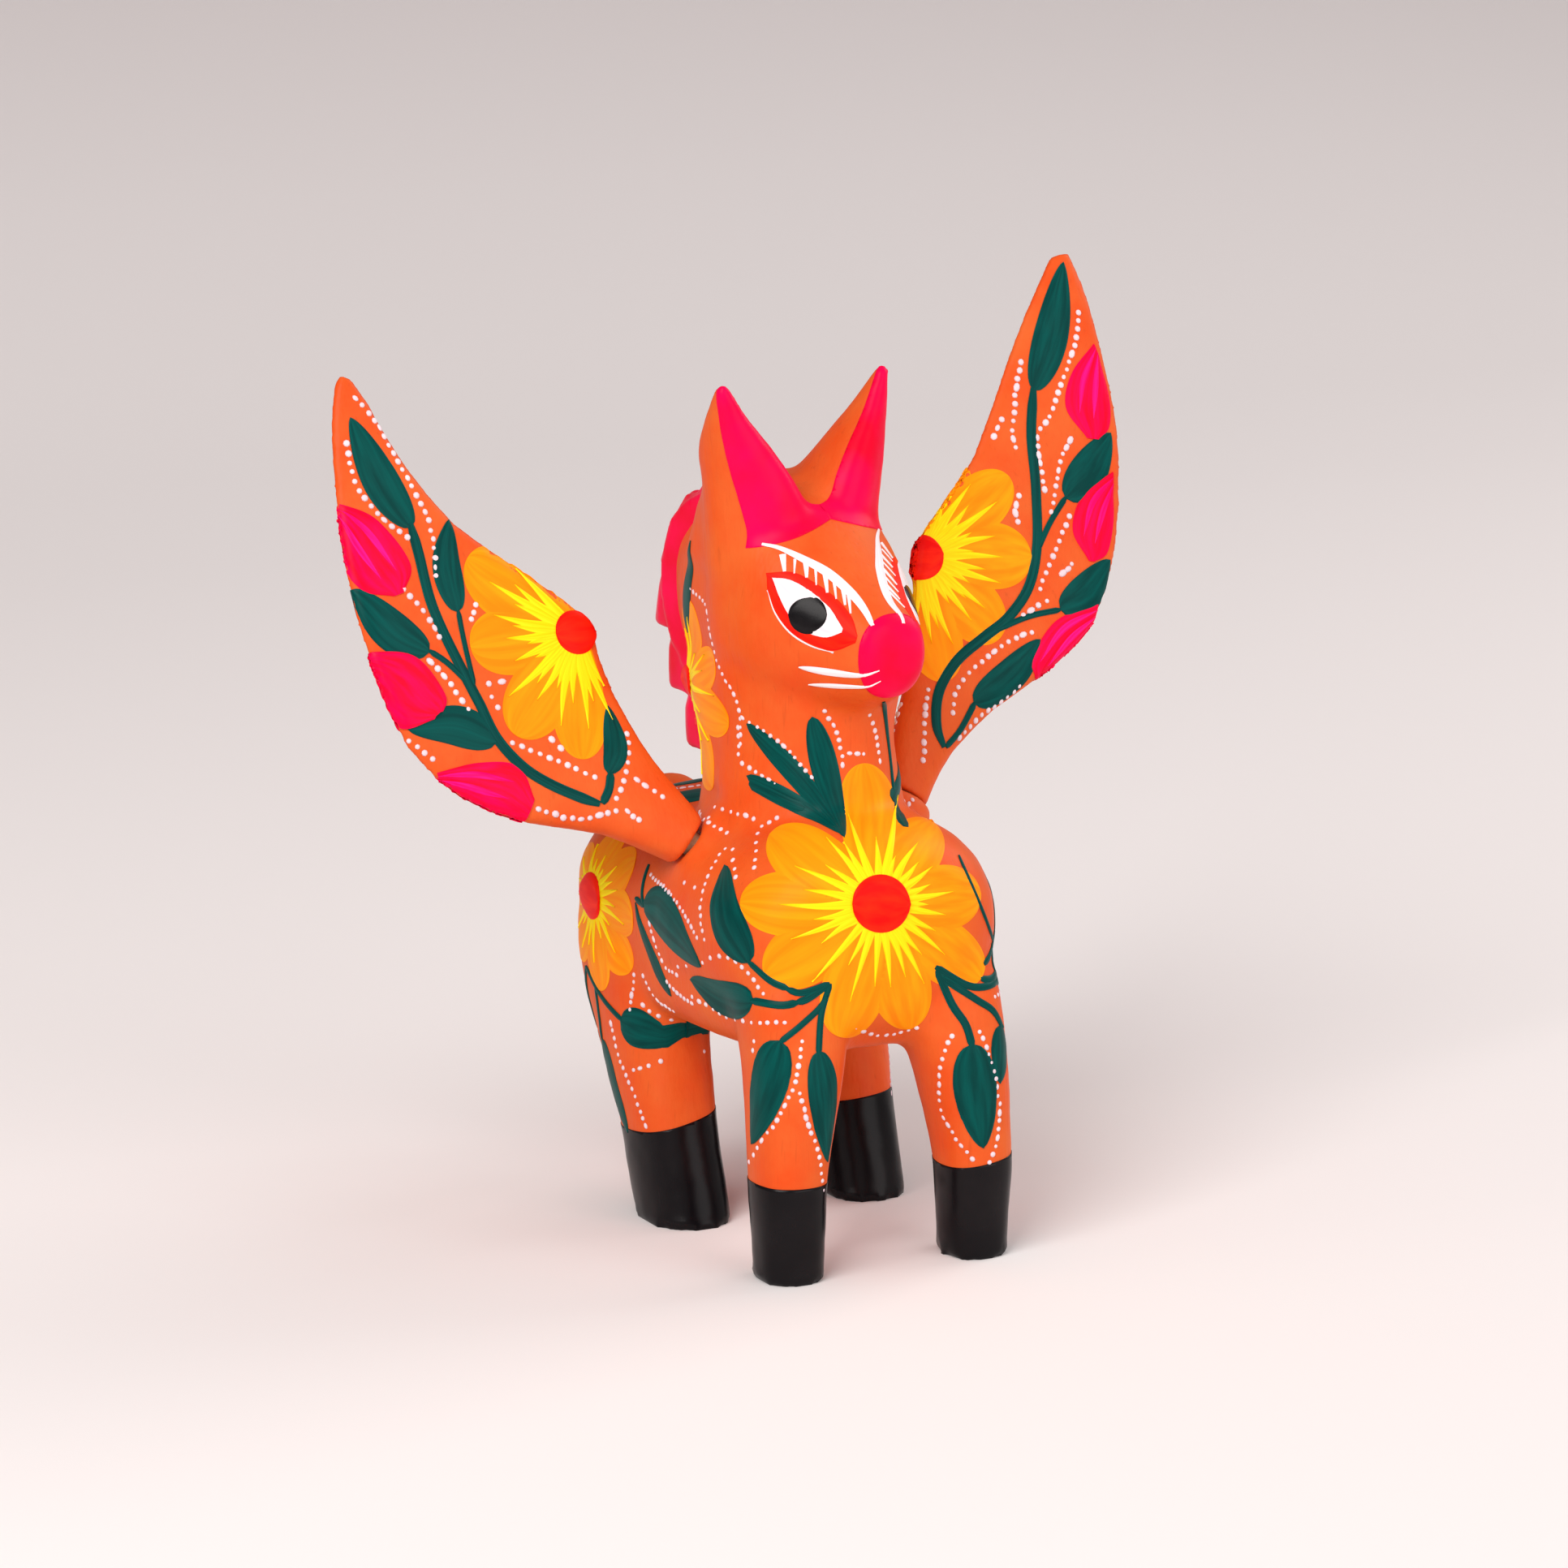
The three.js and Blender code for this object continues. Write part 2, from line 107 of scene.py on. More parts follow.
# A ramp by height paints the pale sheet darker up the wall, as painted shade.
sheet_painted_shade = cloth.node_tree.nodes.new("ShaderNodeValToRGB")
sheet_painted_shade.color_ramp.elements[0].color = (0.9, 0.86, 0.86, 1)
sheet_painted_shade.color_ramp.elements[1].color = (0.34, 0.28, 0.29, 1)
sheet_painted_shade.color_ramp.elements[1].position = 0.25
cloth.node_tree.links.new(cloth_places.outputs["Object"], cloth_height.inputs[0])
cloth.node_tree.links.new(cloth_height.outputs["Z"], sheet_painted_shade.inputs["Fac"])
cloth.node_tree.links.new(sheet_painted_shade.outputs["Color"], cloth_shader.inputs["Base Color"])
cloth_shader.inputs["Roughness"].default_value = 0.9
sweep.data.materials.append(cloth)
sweep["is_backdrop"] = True


def soft_light(name, place, size, power, colour):
    """A square lamp that faces the figure."""
    bpy.ops.object.light_add(type="AREA", location=place)
    lamp = bpy.context.object
    lamp.name = name
    lamp.data.size = size
    lamp.data.energy = power
    lamp.data.color = colour
    lamp.rotation_mode = "QUATERNION"
    lamp.rotation_quaternion = (Vector(place) - aim).to_track_quat("Z", "Y")


soft_light("window", (-0.75, -0.55, 0.85), 0.7, 10.5, (1.0, 0.97, 0.94))
soft_light("front_fill", (0.35, -1.0, 0.45), 0.8, 3.4, (1.0, 0.96, 0.95))
soft_light("side_fill", (0.9, 0.1, 0.6), 0.6, 3, (1.0, 0.97, 0.95))
bpy.context.scene.world = bpy.data.worlds.new("room")
bpy.context.scene.world.use_nodes = True
room = bpy.context.scene.world.node_tree.nodes["Background"]
room.inputs["Color"].default_value = (1.0, 0.95, 0.93, 1)
room.inputs["Strength"].default_value = 0.5
bpy.context.scene.view_settings.view_transform = "Standard"

# ---- the block -------------------------------------------------------------------------------
# One piece of soft copal wood: torso, legs, neck, head, ears and mane. It is cut with a knife,
# sanded until every join runs soft, and given two thin coats of orange acrylic.


def choose(*pieces):
    """Selects these objects and nothing else; the first is the active one."""
    bpy.ops.object.select_all(action="DESELECT")
    for piece in pieces:
        piece.select_set(True)
    bpy.context.view_layer.objects.active = pieces[0]


def apply_modifiers(piece):
    """Makes a piece's modifiers permanent, in their order."""
    choose(piece)
    for modifier in list(piece.modifiers):
        bpy.ops.object.modifier_apply(modifier=modifier.name)


def roughed_out(name, node):
    """A welded copy of a CAD piece, to be worked over."""
    source = frame["nodes"][node]
    piece = source.copy()
    piece.data = source.data.copy()
    piece.name = name
    piece.parent = None
    for key in list(piece.keys()):
        del piece[key]
    bpy.context.scene.collection.objects.link(piece)
    piece.hide_viewport = piece.hide_render = False
    piece.hide_set(False)
    choose(piece)
    bpy.ops.object.mode_set(mode="EDIT")
    bpy.ops.mesh.select_all(action="SELECT")
    bpy.ops.mesh.remove_doubles(threshold=1e-6)
    bpy.ops.object.mode_set(mode="OBJECT")
    return piece


def even_skin(piece, grain):
    """Remeshes a piece, so that its points are spread evenly."""
    skin = piece.modifiers.new("skin", "REMESH")
    skin.mode = "VOXEL"
    skin.voxel_size = grain
    apply_modifiers(piece)


def rubbed_all_over(place):
    """The share of sanding for a piece with no edges to keep."""
    return 1.0


def sand(piece, grain, passes, share):
    """Gives a piece one even skin and rubs it down; share says how much at each point."""
    even_skin(piece, grain)
    sanded = piece.vertex_groups.new(name="sanded")
    for point in piece.data.vertices:
        sanded.add([point.index], share(point.co), "REPLACE")
    rub = piece.modifiers.new("rub", "SMOOTH")
    rub.factor = 0.5
    rub.iterations = passes
    rub.vertex_group = "sanded"
    apply_modifiers(piece)


def hand_cut(piece, depth):
    """Low, uneven hollows and rises, as a knife and sandpaper leave them."""
    normals = [point.normal.copy() for point in piece.data.vertices]
    for point, normal in zip(piece.data.vertices, normals):
        if point.co.z > 1.5 * MM:
            wide = noise.noise(point.co * 130)
            fine = noise.noise(point.co * 420)
            point.co += normal * depth * (wide + 0.3 * fine)


def block_share(place):
    """Ear tips and soles keep their shape; the joins of neck, belly and legs are worn round."""
    if place.z < 1.2 * MM:
        return 0.0
    ears = (place.z - (block_high.z - 22 * MM)) / (10 * MM)
    return 1.0 - 0.75 * min(1.0, max(0.0, ears))


def painted(name, first, second, roughness, across, along, shine=0.07):
    """A paint film in two close tones, streaked along the brush, with its faint ridges."""
    coat = bpy.data.materials.new(name)
    coat.use_nodes = True
    nodes = coat.node_tree.nodes
    link = coat.node_tree.links.new
    shader = nodes["Principled BSDF"]
    shader.inputs["Roughness"].default_value = roughness
    shader.inputs["Specular IOR Level"].default_value = shine
    places = nodes.new("ShaderNodeTexCoord")
    drawn = nodes.new("ShaderNodeMapping")
    drawn.inputs["Scale"].default_value = (along, across, 1)
    link(places.outputs["UV"], drawn.inputs["Vector"])
    spread = nodes.new("ShaderNodeVectorMath")
    spread.operation = "SCALE"
    spread.inputs["Scale"].default_value = 90
    link(places.outputs["Object"], spread.inputs[0])
    both = nodes.new("ShaderNodeVectorMath")
    both.operation = "ADD"
    link(drawn.outputs["Vector"], both.inputs[0])
    link(spread.outputs["Vector"], both.inputs[1])
    streaks = nodes.new("ShaderNodeTexNoise")
    streaks.inputs["Scale"].default_value = 1.0
    streaks.inputs["Detail"].default_value = 3.0
    link(both.outputs["Vector"], streaks.inputs["Vector"])
    tones = nodes.new("ShaderNodeValToRGB")
    tones.color_ramp.elements[0].position = 0.35
    tones.color_ramp.elements[0].color = (*first, 1)
    tones.color_ramp.elements[1].position = 0.68
    tones.color_ramp.elements[1].color = (*second, 1)
    link(streaks.outputs["Fac"], tones.inputs["Fac"])
    link(tones.outputs["Color"], shader.inputs["Base Color"])
    ridges = nodes.new("ShaderNodeBump")
    ridges.inputs["Strength"].default_value = 0.35
    ridges.inputs["Distance"].default_value = 0.06 * MM
    link(streaks.outputs["Fac"], ridges.inputs["Height"])
    link(ridges.outputs["Normal"], shader.inputs["Normal"])
    return coat


def orange_over_wood():
    """Orange acrylic over sanded copal: a little uneven, with the grain just showing."""
    coat = bpy.data.materials.new("orange_paint")
    coat.use_nodes = True
    nodes = coat.node_tree.nodes
    link = coat.node_tree.links.new
    shader = nodes["Principled BSDF"]
    shader.inputs["Specular IOR Level"].default_value = 0.16
    places = nodes.new("ShaderNodeTexCoord")
    clouds = nodes.new("ShaderNodeTexNoise")
    clouds.inputs["Scale"].default_value = 95
    clouds.inputs["Detail"].default_value = 4
    clouds.inputs["Roughness"].default_value = 0.6
    link(places.outputs["Object"], clouds.inputs["Vector"])
    tones = nodes.new("ShaderNodeValToRGB")
    tones.color_ramp.elements[0].position = 0.3
    tones.color_ramp.elements[0].color = (0.76, 0.075, 0.007, 1)
    tones.color_ramp.elements[1].position = 0.7
    tones.color_ramp.elements[1].color = (0.76, 0.125, 0.02, 1)
    link(clouds.outputs["Fac"], tones.inputs["Fac"])
    fibres = nodes.new("ShaderNodeMapping")
    fibres.inputs["Scale"].default_value = (1500, 1500, 130)
    link(places.outputs["Object"], fibres.inputs["Vector"])
    grain = nodes.new("ShaderNodeTexNoise")
    grain.inputs["Scale"].default_value = 1.0
    grain.inputs["Detail"].default_value = 2.0
    link(fibres.outputs["Vector"], grain.inputs["Vector"])
    pores = nodes.new("ShaderNodeValToRGB")
    pores.color_ramp.elements[0].position = 0.26
    pores.color_ramp.elements[0].color = (0.55, 0.5, 0.5, 1)
    pores.color_ramp.elements[1].position = 0.36
    pores.color_ramp.elements[1].color = (1, 1, 1, 1)
    link(grain.outputs["Fac"], pores.inputs["Fac"])
    mix = nodes.new("ShaderNodeMix")
    mix.data_type = "RGBA"
    mix.blend_type = "MULTIPLY"
    mix.inputs["Factor"].default_value = 0.22
    link(tones.outputs["Color"], mix.inputs["A"])
    link(pores.outputs["Color"], mix.inputs["B"])
    link(mix.outputs["Result"], shader.inputs["Base Color"])
    sheen = nodes.new("ShaderNodeMapRange")
    sheen.inputs["To Min"].default_value = 0.36
    sheen.inputs["To Max"].default_value = 0.58
    link(clouds.outputs["Fac"], sheen.inputs["Value"])
    link(sheen.outputs["Result"], shader.inputs["Roughness"])
    relief = nodes.new("ShaderNodeBump")
    relief.inputs["Strength"].default_value = 0.7
    relief.inputs["Distance"].default_value = 0.1 * MM
    link(grain.outputs["Fac"], relief.inputs["Height"])
    link(relief.outputs["Normal"], shader.inputs["Normal"])
    return coat


orange = orange_over_wood()


def stand_for(piece, node, body, coat):
    """The finished piece takes the CAD piece's place."""
    piece.data.materials.clear()
    piece.data.materials.append(coat)
    choose(piece)
    bpy.ops.object.shade_smooth()
    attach(piece, body)
    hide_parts(node)


def skin_of(piece):
    """The piece's surface, for a brush to find."""
    return BVHTree.FromObject(piece, bpy.context.evaluated_depsgraph_get())


head_turn = math.radians(10)  # the head looks a little to the figure's left
head_place = Vector((block_middle.x, block_low.y + 31.15 * MM, 0))
head_left = Vector((math.cos(head_turn), math.sin(head_turn), 0))
head_forward = Vector((math.sin(head_turn), -math.cos(head_turn), 0))


def ramp(value, start, end):
    """Rises softly from 0 to 1 between two values."""
    share = min(1.0, max(0.0, (value - start) / (end - start)))
    return share * share * (3 - 2 * share)


def hollow_behind_ears(piece, depth):
    """The knife goes in deeper beside the mane, so that its locks stand out from the head."""
    for point in piece.data.vertices:
        aside = (point.co - head_place).dot(head_left)
        back = -(point.co - head_place).dot(head_forward)
        down = block_high.z - point.co.z
        share = ramp(abs(aside), 6 * MM, 9 * MM) * ramp(back, 2 * MM, 12 * MM)
        share *= ramp(down, 8 * MM, 16 * MM) * (1 - ramp(down, 40 * MM, 50 * MM))
        inward = head_forward - head_left * math.copysign(0.7, aside)
        point.co += inward * share * depth


block = roughed_out("carved_block", "body")
even_skin(block, 0.8 * MM)
hollow_behind_ears(block, 2.6 * MM)
sand(block, 0.6 * MM, 34, block_share)
hand_cut(block, 0.16 * MM)
stand_for(block, "body", "block", orange)
block_skin = skin_of(block)

# ---- the wings -------------------------------------------------------------------------------
# Two thin blades of the same copal wood, carved apart with the grain along the blade and painted
# orange. Each root is cut flat and bored for a dowel that holds it to the shoulder.
wing_skins = {}
for side in ("right", "left"):
    wing = roughed_out(side + "_wing_blade", side + "_wing")
    sand(wing, 0.45 * MM, 8, rubbed_all_over)
    hand_cut(wing, 0.12 * MM)
    stand_for(wing, side + "_wing", side + "_wing_blade", orange)
    wing_skins[side] = skin_of(wing)

# ---- the tail --------------------------------------------------------------------------------
# A short hanging tail of the same wood, carved apart, sanded and painted orange. It is bored at
# its root and pushed onto its own dowel in the rump.
tail = roughed_out("carved_tail", "tail")
sand(tail, 0.45 * MM, 8, rubbed_all_over)
hand_cut(tail, 0.1 * MM)
stand_for(tail, "tail", "tail_carving", orange)
tail_skin = skin_of(tail)

# ---- the dowels ------------------------------------------------------------------------------
# Bare round pegs of straight-grained wood, left unpainted because they turn in their holes. They
# are the CAD pieces themselves with a wood finish, and show only when a wing or the tail is out.
bare_wood = bpy.data.materials.new("bare_dowel_wood")
bare_wood.use_nodes = True
bare_nodes = bare_wood.node_tree.nodes
bare_link = bare_wood.node_tree.links.new
bare_places = bare_nodes.new("ShaderNodeTexCoord")
bare_fibres = bare_nodes.new("ShaderNodeTexNoise")
bare_fibres.inputs["Scale"].default_value = 900
bare_link(bare_places.outputs["Object"], bare_fibres.inputs["Vector"])
bare_tones = bare_nodes.new("ShaderNodeValToRGB")
bare_tones.color_ramp.elements[0].color = (0.48, 0.3, 0.14, 1)
bare_tones.color_ramp.elements[1].color = (0.76, 0.56, 0.34, 1)
bare_link(bare_fibres.outputs["Fac"], bare_tones.inputs["Fac"])
bare_link(bare_tones.outputs["Color"], bare_nodes["Principled BSDF"].inputs["Base Color"])
bare_nodes["Principled BSDF"].inputs["Roughness"].default_value = 0.75
for node in ("right_wing_peg", "left_wing_peg", "tail_peg"):
    frame["nodes"][node].data.materials.clear()
    frame["nodes"][node].data.materials.append(bare_wood)

# ---- painting by hand ------------------------------------------------------------------------
# Every ornament is thick acrylic laid over the orange. A drawing is held up in front of the
# figure, in millimetres to the right and up, and each mark falls from it onto the wood.
chance = random.Random(7)


def drawing(middle, turn, rise, home, twin=None):
    """The painter's line of sight through a point of a drawing held up on that side."""
    back = towards(turn, rise)
    right = Vector((math.cos(turn), math.sin(turn), 0))
    up = back.cross(right)

    def sight(across, high):
        eye = middle + back * view_distance
        target = middle + (right * across + up * high) * MM
        if twin:
            eye, target = twin(eye), twin(target)
        return eye, (target - eye).normalized()

    sight.home = Vector(home)
    return sight


def mirror(place, normal):
    """A reflection in the upright plane through a place."""
    return lambda point: point - normal * (2 * (point - place).dot(normal))


def touch(skin, sight, point):
    """Where the brush meets the wood; past the edge of the wood it comes back in to the edge."""
    drawn = Vector(point[:2])
    back_in = (sight.home - drawn).normalized() * 0.12
    place = None
    while not place:
        eye, ray = sight(*drawn)
        place = skin.ray_cast(eye, ray)[0]
        drawn += back_in
    return place


def crown(side):
    """How thick a mark is across its width: a low dome, thinner at its edges."""
    return 0.45 + 0.55 * math.sqrt(max(0, 1 - side * side))


def face_out(made, skin):
    """Turns a mark so that it faces away from the wood."""
    face = made.data.polygons[len(made.data.polygons) // 2]
    if face.normal.dot(skin.find_nearest(face.center)[1]) < 0:
        made.data.flip_normals()
    return made


def curve(points, step, least=3):
    """Evenly spaced points along the smooth line through a drawing's points."""
    points = [Vector((*point, 0)) for point in points]
    ends = [points[0] * 2 - points[1], *points, points[-1] * 2 - points[-2]]
    fine = []
    for a, b, c, d in zip(ends, ends[1:], ends[2:], ends[3:]):
        for k in range(16):
            t = k / 16
            bend = (b * 2 + (c - a) * t + (a * 2 - b * 5 + c * 4 - d) * t**2
                    + (b * 3 - a - c * 3 + d) * t**3)
            fine.append(bend / 2)
    fine.append(points[-1])
    run = [0.0]
    for a, b in zip(fine, fine[1:]):
        run.append(run[-1] + (b - a).length)
    count = max(least, round(run[-1] / step))
    even = []
    k = 0
    for i in range(count + 1):
        want = run[-1] * i / count
        while k < len(run) - 2 and run[k + 1] < want:
            k += 1
        gap = run[k + 1] - run[k]
        even.append(fine[k].lerp(fine[k + 1], (want - run[k]) / gap if gap else 0))
    return even


def strip(steps, columns):
    """A flat strip, one unit each way from its middle, with its length along X."""
    bpy.ops.mesh.primitive_grid_add(x_subdivisions=steps, y_subdivisions=columns, size=2)
    return bpy.context.object


def mark(skin, path, half_width, height, columns=4):
    """A brush mark along a path on the wood; half_width gives its half width at each share."""
    steps = len(path) - 1
    made = strip(steps, columns)
    spine = []
    for i, place in enumerate(path):
        near, normal = skin.find_nearest(place)[:2]
        ahead = path[min(i + 1, steps)] - path[max(i - 1, 0)]
        spine.append((near, normal.cross(ahead).normalized()))
    for point in made.data.vertices:
        step = round((point.co.x + 1) / 2 * steps)
        side = point.co.y
        near, across = spine[step]
        wide = max(0.02, half_width(step / steps)) * MM
        place, normal = skin.find_nearest(near + across * side * wide)[:2]
        point.co = place + normal * height * MM * crown(side)
    return made


def stroke(skin, sight, points, half_width, height, columns=4, step=0.7):
    """A mark that follows a drawn line."""
    path = [touch(skin, sight, point) for point in curve(points, step)]
    return mark(skin, path, half_width, height, columns)


def stem(skin, sight, points, width):
    """A long stroke of even width with round ends."""
    wide = lambda t: width / 2 * min(1, 14 * t + 0.3, 14 * (1 - t) + 0.3) ** 0.5
    return stroke(skin, sight, points, wide, 0.22)


def leaf(skin, sight, points, width):
    """One leaf: round at its stalk, pointed at its tip."""
    wide = lambda t: width * 0.56 * math.sin(math.pi * t**0.76) ** 0.66
    return stroke(skin, sight, points, wide, 0.18, columns=6, step=0.5)


def petal(skin, sight, centre, tip, width, height):
    """One petal from the middle of the flower: narrow at its foot and round at its end."""
    def wide(t):
        if t < 0.62:
            return width / 2 * (0.45 + 0.55 * math.sin(math.pi / 2 * t / 0.62))
        return width / 2 * math.sqrt(max(0, 1 - ((t - 0.62) / 0.38) ** 2.2))

    start, end = Vector(centre), Vector(tip)
    way = (end - start).normalized()
    aside = Vector((-way.y, way.x))
    made = strip(max(12, round((end - start).length / 0.6)), 10)
    for point in made.data.vertices:
        share = math.sin(math.pi / 4 * (point.co.x + 1))
        side = point.co.y
        drawn = start.lerp(end, share) + aside * side * wide(share)
        place, normal = skin.find_nearest(touch(skin, sight, drawn))[:2]
        point.co = place + normal * height * MM * crown(side)
    return face_out(made, skin)


def ray(skin, sight, centre, angle, start, length, width):
    """A thin yellow flick that leaves the flower's eye and thins out to nothing."""
    way = Vector((math.cos(angle), math.sin(angle), 0))
    first = Vector((*centre, 0)) + way * start
    last = first + way * length
    bend = Vector((-way.y, way.x, 0)) * chance.uniform(-0.04, 0.04) * length
    wide = lambda t: width / 2 * (1 - t) ** 0.8
    return stroke(skin, sight, [first[:2], ((first + last) / 2 + bend)[:2], last[:2]], wide, 0.26, 2)


def patch(skin, sight, first, second, height, columns=8, step=0.6):
    """Paint that fills the space between two drawn edges."""
    count = max(len(curve(first, step)), len(curve(second, step)))
    longest = lambda edge: curve(edge, sum(
        (Vector(b) - Vector(a)).length for a, b in zip(edge, edge[1:])) / count)
    one, two = longest(first), longest(second)
    steps = min(len(one), len(two)) - 1
    made = strip(steps, columns)
    for point in made.data.vertices:
        row = round((point.co.x + 1) / 2 * steps)
        side = point.co.y
        drawn = one[row].lerp(two[row], (side + 1) / 2)
        place, normal = skin.find_nearest(touch(skin, sight, drawn))[:2]
        point.co = place + normal * height * MM * crown(side * side)
    return face_out(made, skin)


def lay(name, marks, coat, body):
    """Joins marks of one colour and gives them the thickness of the paint."""
    choose(*marks)
    bpy.ops.object.join()
    film = bpy.context.object
    film.name = name
    film.data.materials.clear()
    film.data.materials.append(coat)
    wall = film.modifiers.new("wall", "SOLIDIFY")
    wall.thickness = 0.25 * MM
    wall.offset = -1
    apply_modifiers(film)
    bpy.ops.object.shade_smooth_by_angle(angle=math.radians(50))
    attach(film, body)


bpy.ops.mesh.primitive_uv_sphere_add(segments=8, ring_count=4, radius=1)
bead = bpy.context.object
bead_points = [point.co.copy() for point in bead.data.vertices]
bead_faces = [tuple(face.vertices) for face in bead.data.polygons]
bpy.data.objects.remove(bead)


def dots(skin, sight, points, radius, gap):
    """A row of dabs: where each sits, which way the row runs, and how big it came out."""
    row = []
    for point in curve(points, gap, 1):
        jog = Vector((chance.uniform(-0.1, 0.1), chance.uniform(-0.1, 0.1), 0))
        place, normal = skin.find_nearest(touch(skin, sight, point + jog))[:2]
        size = radius * chance.uniform(0.78, 1.2)
        long = chance.choice((1.0, 1.0, 1.0, 1.15, 1.5))
        row.append((place, normal, size, long))
    for i, (place, normal, size, long) in enumerate(row):
        other = row[i + 1][0] if i + 1 < len(row) else row[i - 1][0]
        row[i] = (place, normal, (other - place), size, long)
    return row


def lay_dots(name, rows, coat, body):
    """All the dots of one piece, each a low round bead of thick paint."""
    points, faces = [], []
    for place, normal, ahead, size, long in (dot for row in rows for dot in row):
        along = (ahead - normal * ahead.dot(normal)).normalized()
        across = normal.cross(along)
        first = len(points)
        for co in bead_points:
            spot = along * co.x * long + across * co.y + normal * co.z * 0.45
            points.append(place + spot * size * MM)
        faces.extend(tuple(first + i for i in face) for face in bead_faces)
    mesh = bpy.data.meshes.new(name)
    mesh.from_pydata(points, [], faces)
    dabs = bpy.data.objects.new(name, mesh)
    bpy.context.scene.collection.objects.link(dabs)
    mesh.materials.append(coat)
    choose(dabs)
    bpy.ops.object.shade_smooth()
    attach(dabs, body)


quarter = drawing(aim, view_turn, view_rise, (4, -12))
body_twin = mirror(block_middle, Vector((1, 0, 0)))
quarter_left = drawing(aim, view_turn, view_rise, (4, -12), body_twin)
foot_of_block = Vector((block_middle.x, block_middle.y, 0))
flank = drawing(foot_of_block, math.radians(-90), 0, (-6, 45))
flank_left = drawing(foot_of_block, math.radians(-90), 0, (-6, 45), body_twin)
head_twin = mirror(head_place, head_left)
face = drawing(aim, view_turn, view_rise, (0, 26))
far_face = drawing(aim, view_turn, view_rise, (0, 26), head_twin)

# ---- hooves, snout and mane ------------------------------------------------------------------
# Fields of plain acrylic that follow the carving: black feet, a pink muzzle end, a pink mane. Each
# is a film cut from a copy of the block; the mane's locks keep more of their knife-cut steps.


def film_over(name, cuts, proud, coat):
    """Paint over the part of the block left after flat cuts, standing proud millimetres off it."""
    film = block.copy()
    film.data = block.data.copy()
    film.name = name
    film.parent = None
    for key in list(film.keys()):
        del film[key]
    bpy.context.scene.collection.objects.link(film)
    choose(film)
    bpy.ops.object.mode_set(mode="EDIT")
    for place, normal in cuts:
        bpy.ops.mesh.select_all(action="SELECT")
        bpy.ops.mesh.bisect(
            plane_co=place, plane_no=normal.normalized(), clear_outer=True, threshold=1e-6)
    bpy.ops.mesh.select_all(action="SELECT")
    bpy.ops.mesh.delete_loose()
    bpy.ops.object.mode_set(mode="OBJECT")
    coat_thickness = 0.3
    wall = film.modifiers.new("wall", "SOLIDIFY")
    wall.thickness = coat_thickness * MM
    wall.offset = -1 + 2 * proud / coat_thickness
    apply_modifiers(film)
    film.data.materials.clear()
    film.data.materials.append(coat)
    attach(film, "block")


black = painted("black_paint", (0.003, 0.002, 0.003), (0.008, 0.006, 0.007), 0.26, 3, 3, 0.16)
hoof_height = 14.6 * MM
hoof_coat = 0.1
between = Vector((block_middle.x, block_low.y + 22 * MM, 0))
for name, x_side, y_side, tilt in (
    ("right_front_hoof", -1, -1, Vector((0.02, 0.0, 1))),
    ("left_front_hoof", 1, -1, Vector((-0.14, 0.0, 1))),
    ("right_rear_hoof", -1, 1, Vector((-0.22, 0.1, 1))),
    ("left_rear_hoof", 1, 1, Vector((-0.1, 0.1, 1))),
):
    foot = Vector((
        block_middle.x + x_side * 15 * MM,
        block_low.y + (6 if y_side < 0 else 44) * MM,
        hoof_height,
    ))
    film_over(
        name,
        [
            (foot, tilt),
            (between, Vector((-x_side, 0, 0))),
            (between, Vector((0, -y_side, 0))),
        ],
        hoof_coat,
        black,
    )

pink = painted("pink_paint", (0.8, 0.0, 0.025), (0.95, 0.0, 0.085), 0.34, 9, 1.5)
pink_coat = 0.12
chin = Vector((0, 0, block_high.z - 55 * MM))
nose_tip = max(
    (point.co - head_place).dot(head_forward)
    for point in block.data.vertices if point.co.z > chin.z)
film_over(
    "snout_paint",
    [
        (head_place + head_forward * (nose_tip - 1.5 * MM), -head_forward),
        (chin, Vector((0, 0, -1))),
    ],
    pink_coat,
    pink,
)
locks = roughed_out("mane_locks", "body")
bpy.ops.object.mode_set(mode="EDIT")
mane_half_width = 6.7 * MM
for place, normal in (
    (head_place + head_left * mane_half_width, head_left),
    (head_place - head_left * mane_half_width, -head_left),
    (head_place - head_forward * 14.5 * MM, head_forward),
    (block_low + Vector((0, 0, 63 * MM)), Vector((0, 0, -1))),
    (block_high - Vector((0, 0, 14 * MM)), Vector((0, 0, 1))),
):
    bpy.ops.mesh.select_all(action="SELECT")
    bpy.ops.mesh.bisect(
        plane_co=place, plane_no=normal, clear_outer=True, use_fill=True, threshold=1e-6)
bpy.ops.object.mode_set(mode="OBJECT")
sand(locks, 0.4 * MM, 3, rubbed_all_over)
for point, normal in [(point, point.normal.copy()) for point in locks.data.vertices]:
    across = (point.co - head_place).dot(head_left)
    comb = math.sin(across * 2400 + point.co.z * 120)
    point.co += normal * (0.34 + 0.1 * comb) * MM
locks.data.materials.clear()
locks.data.materials.append(pink)
choose(locks)
bpy.ops.object.shade_smooth()
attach(locks, "block")

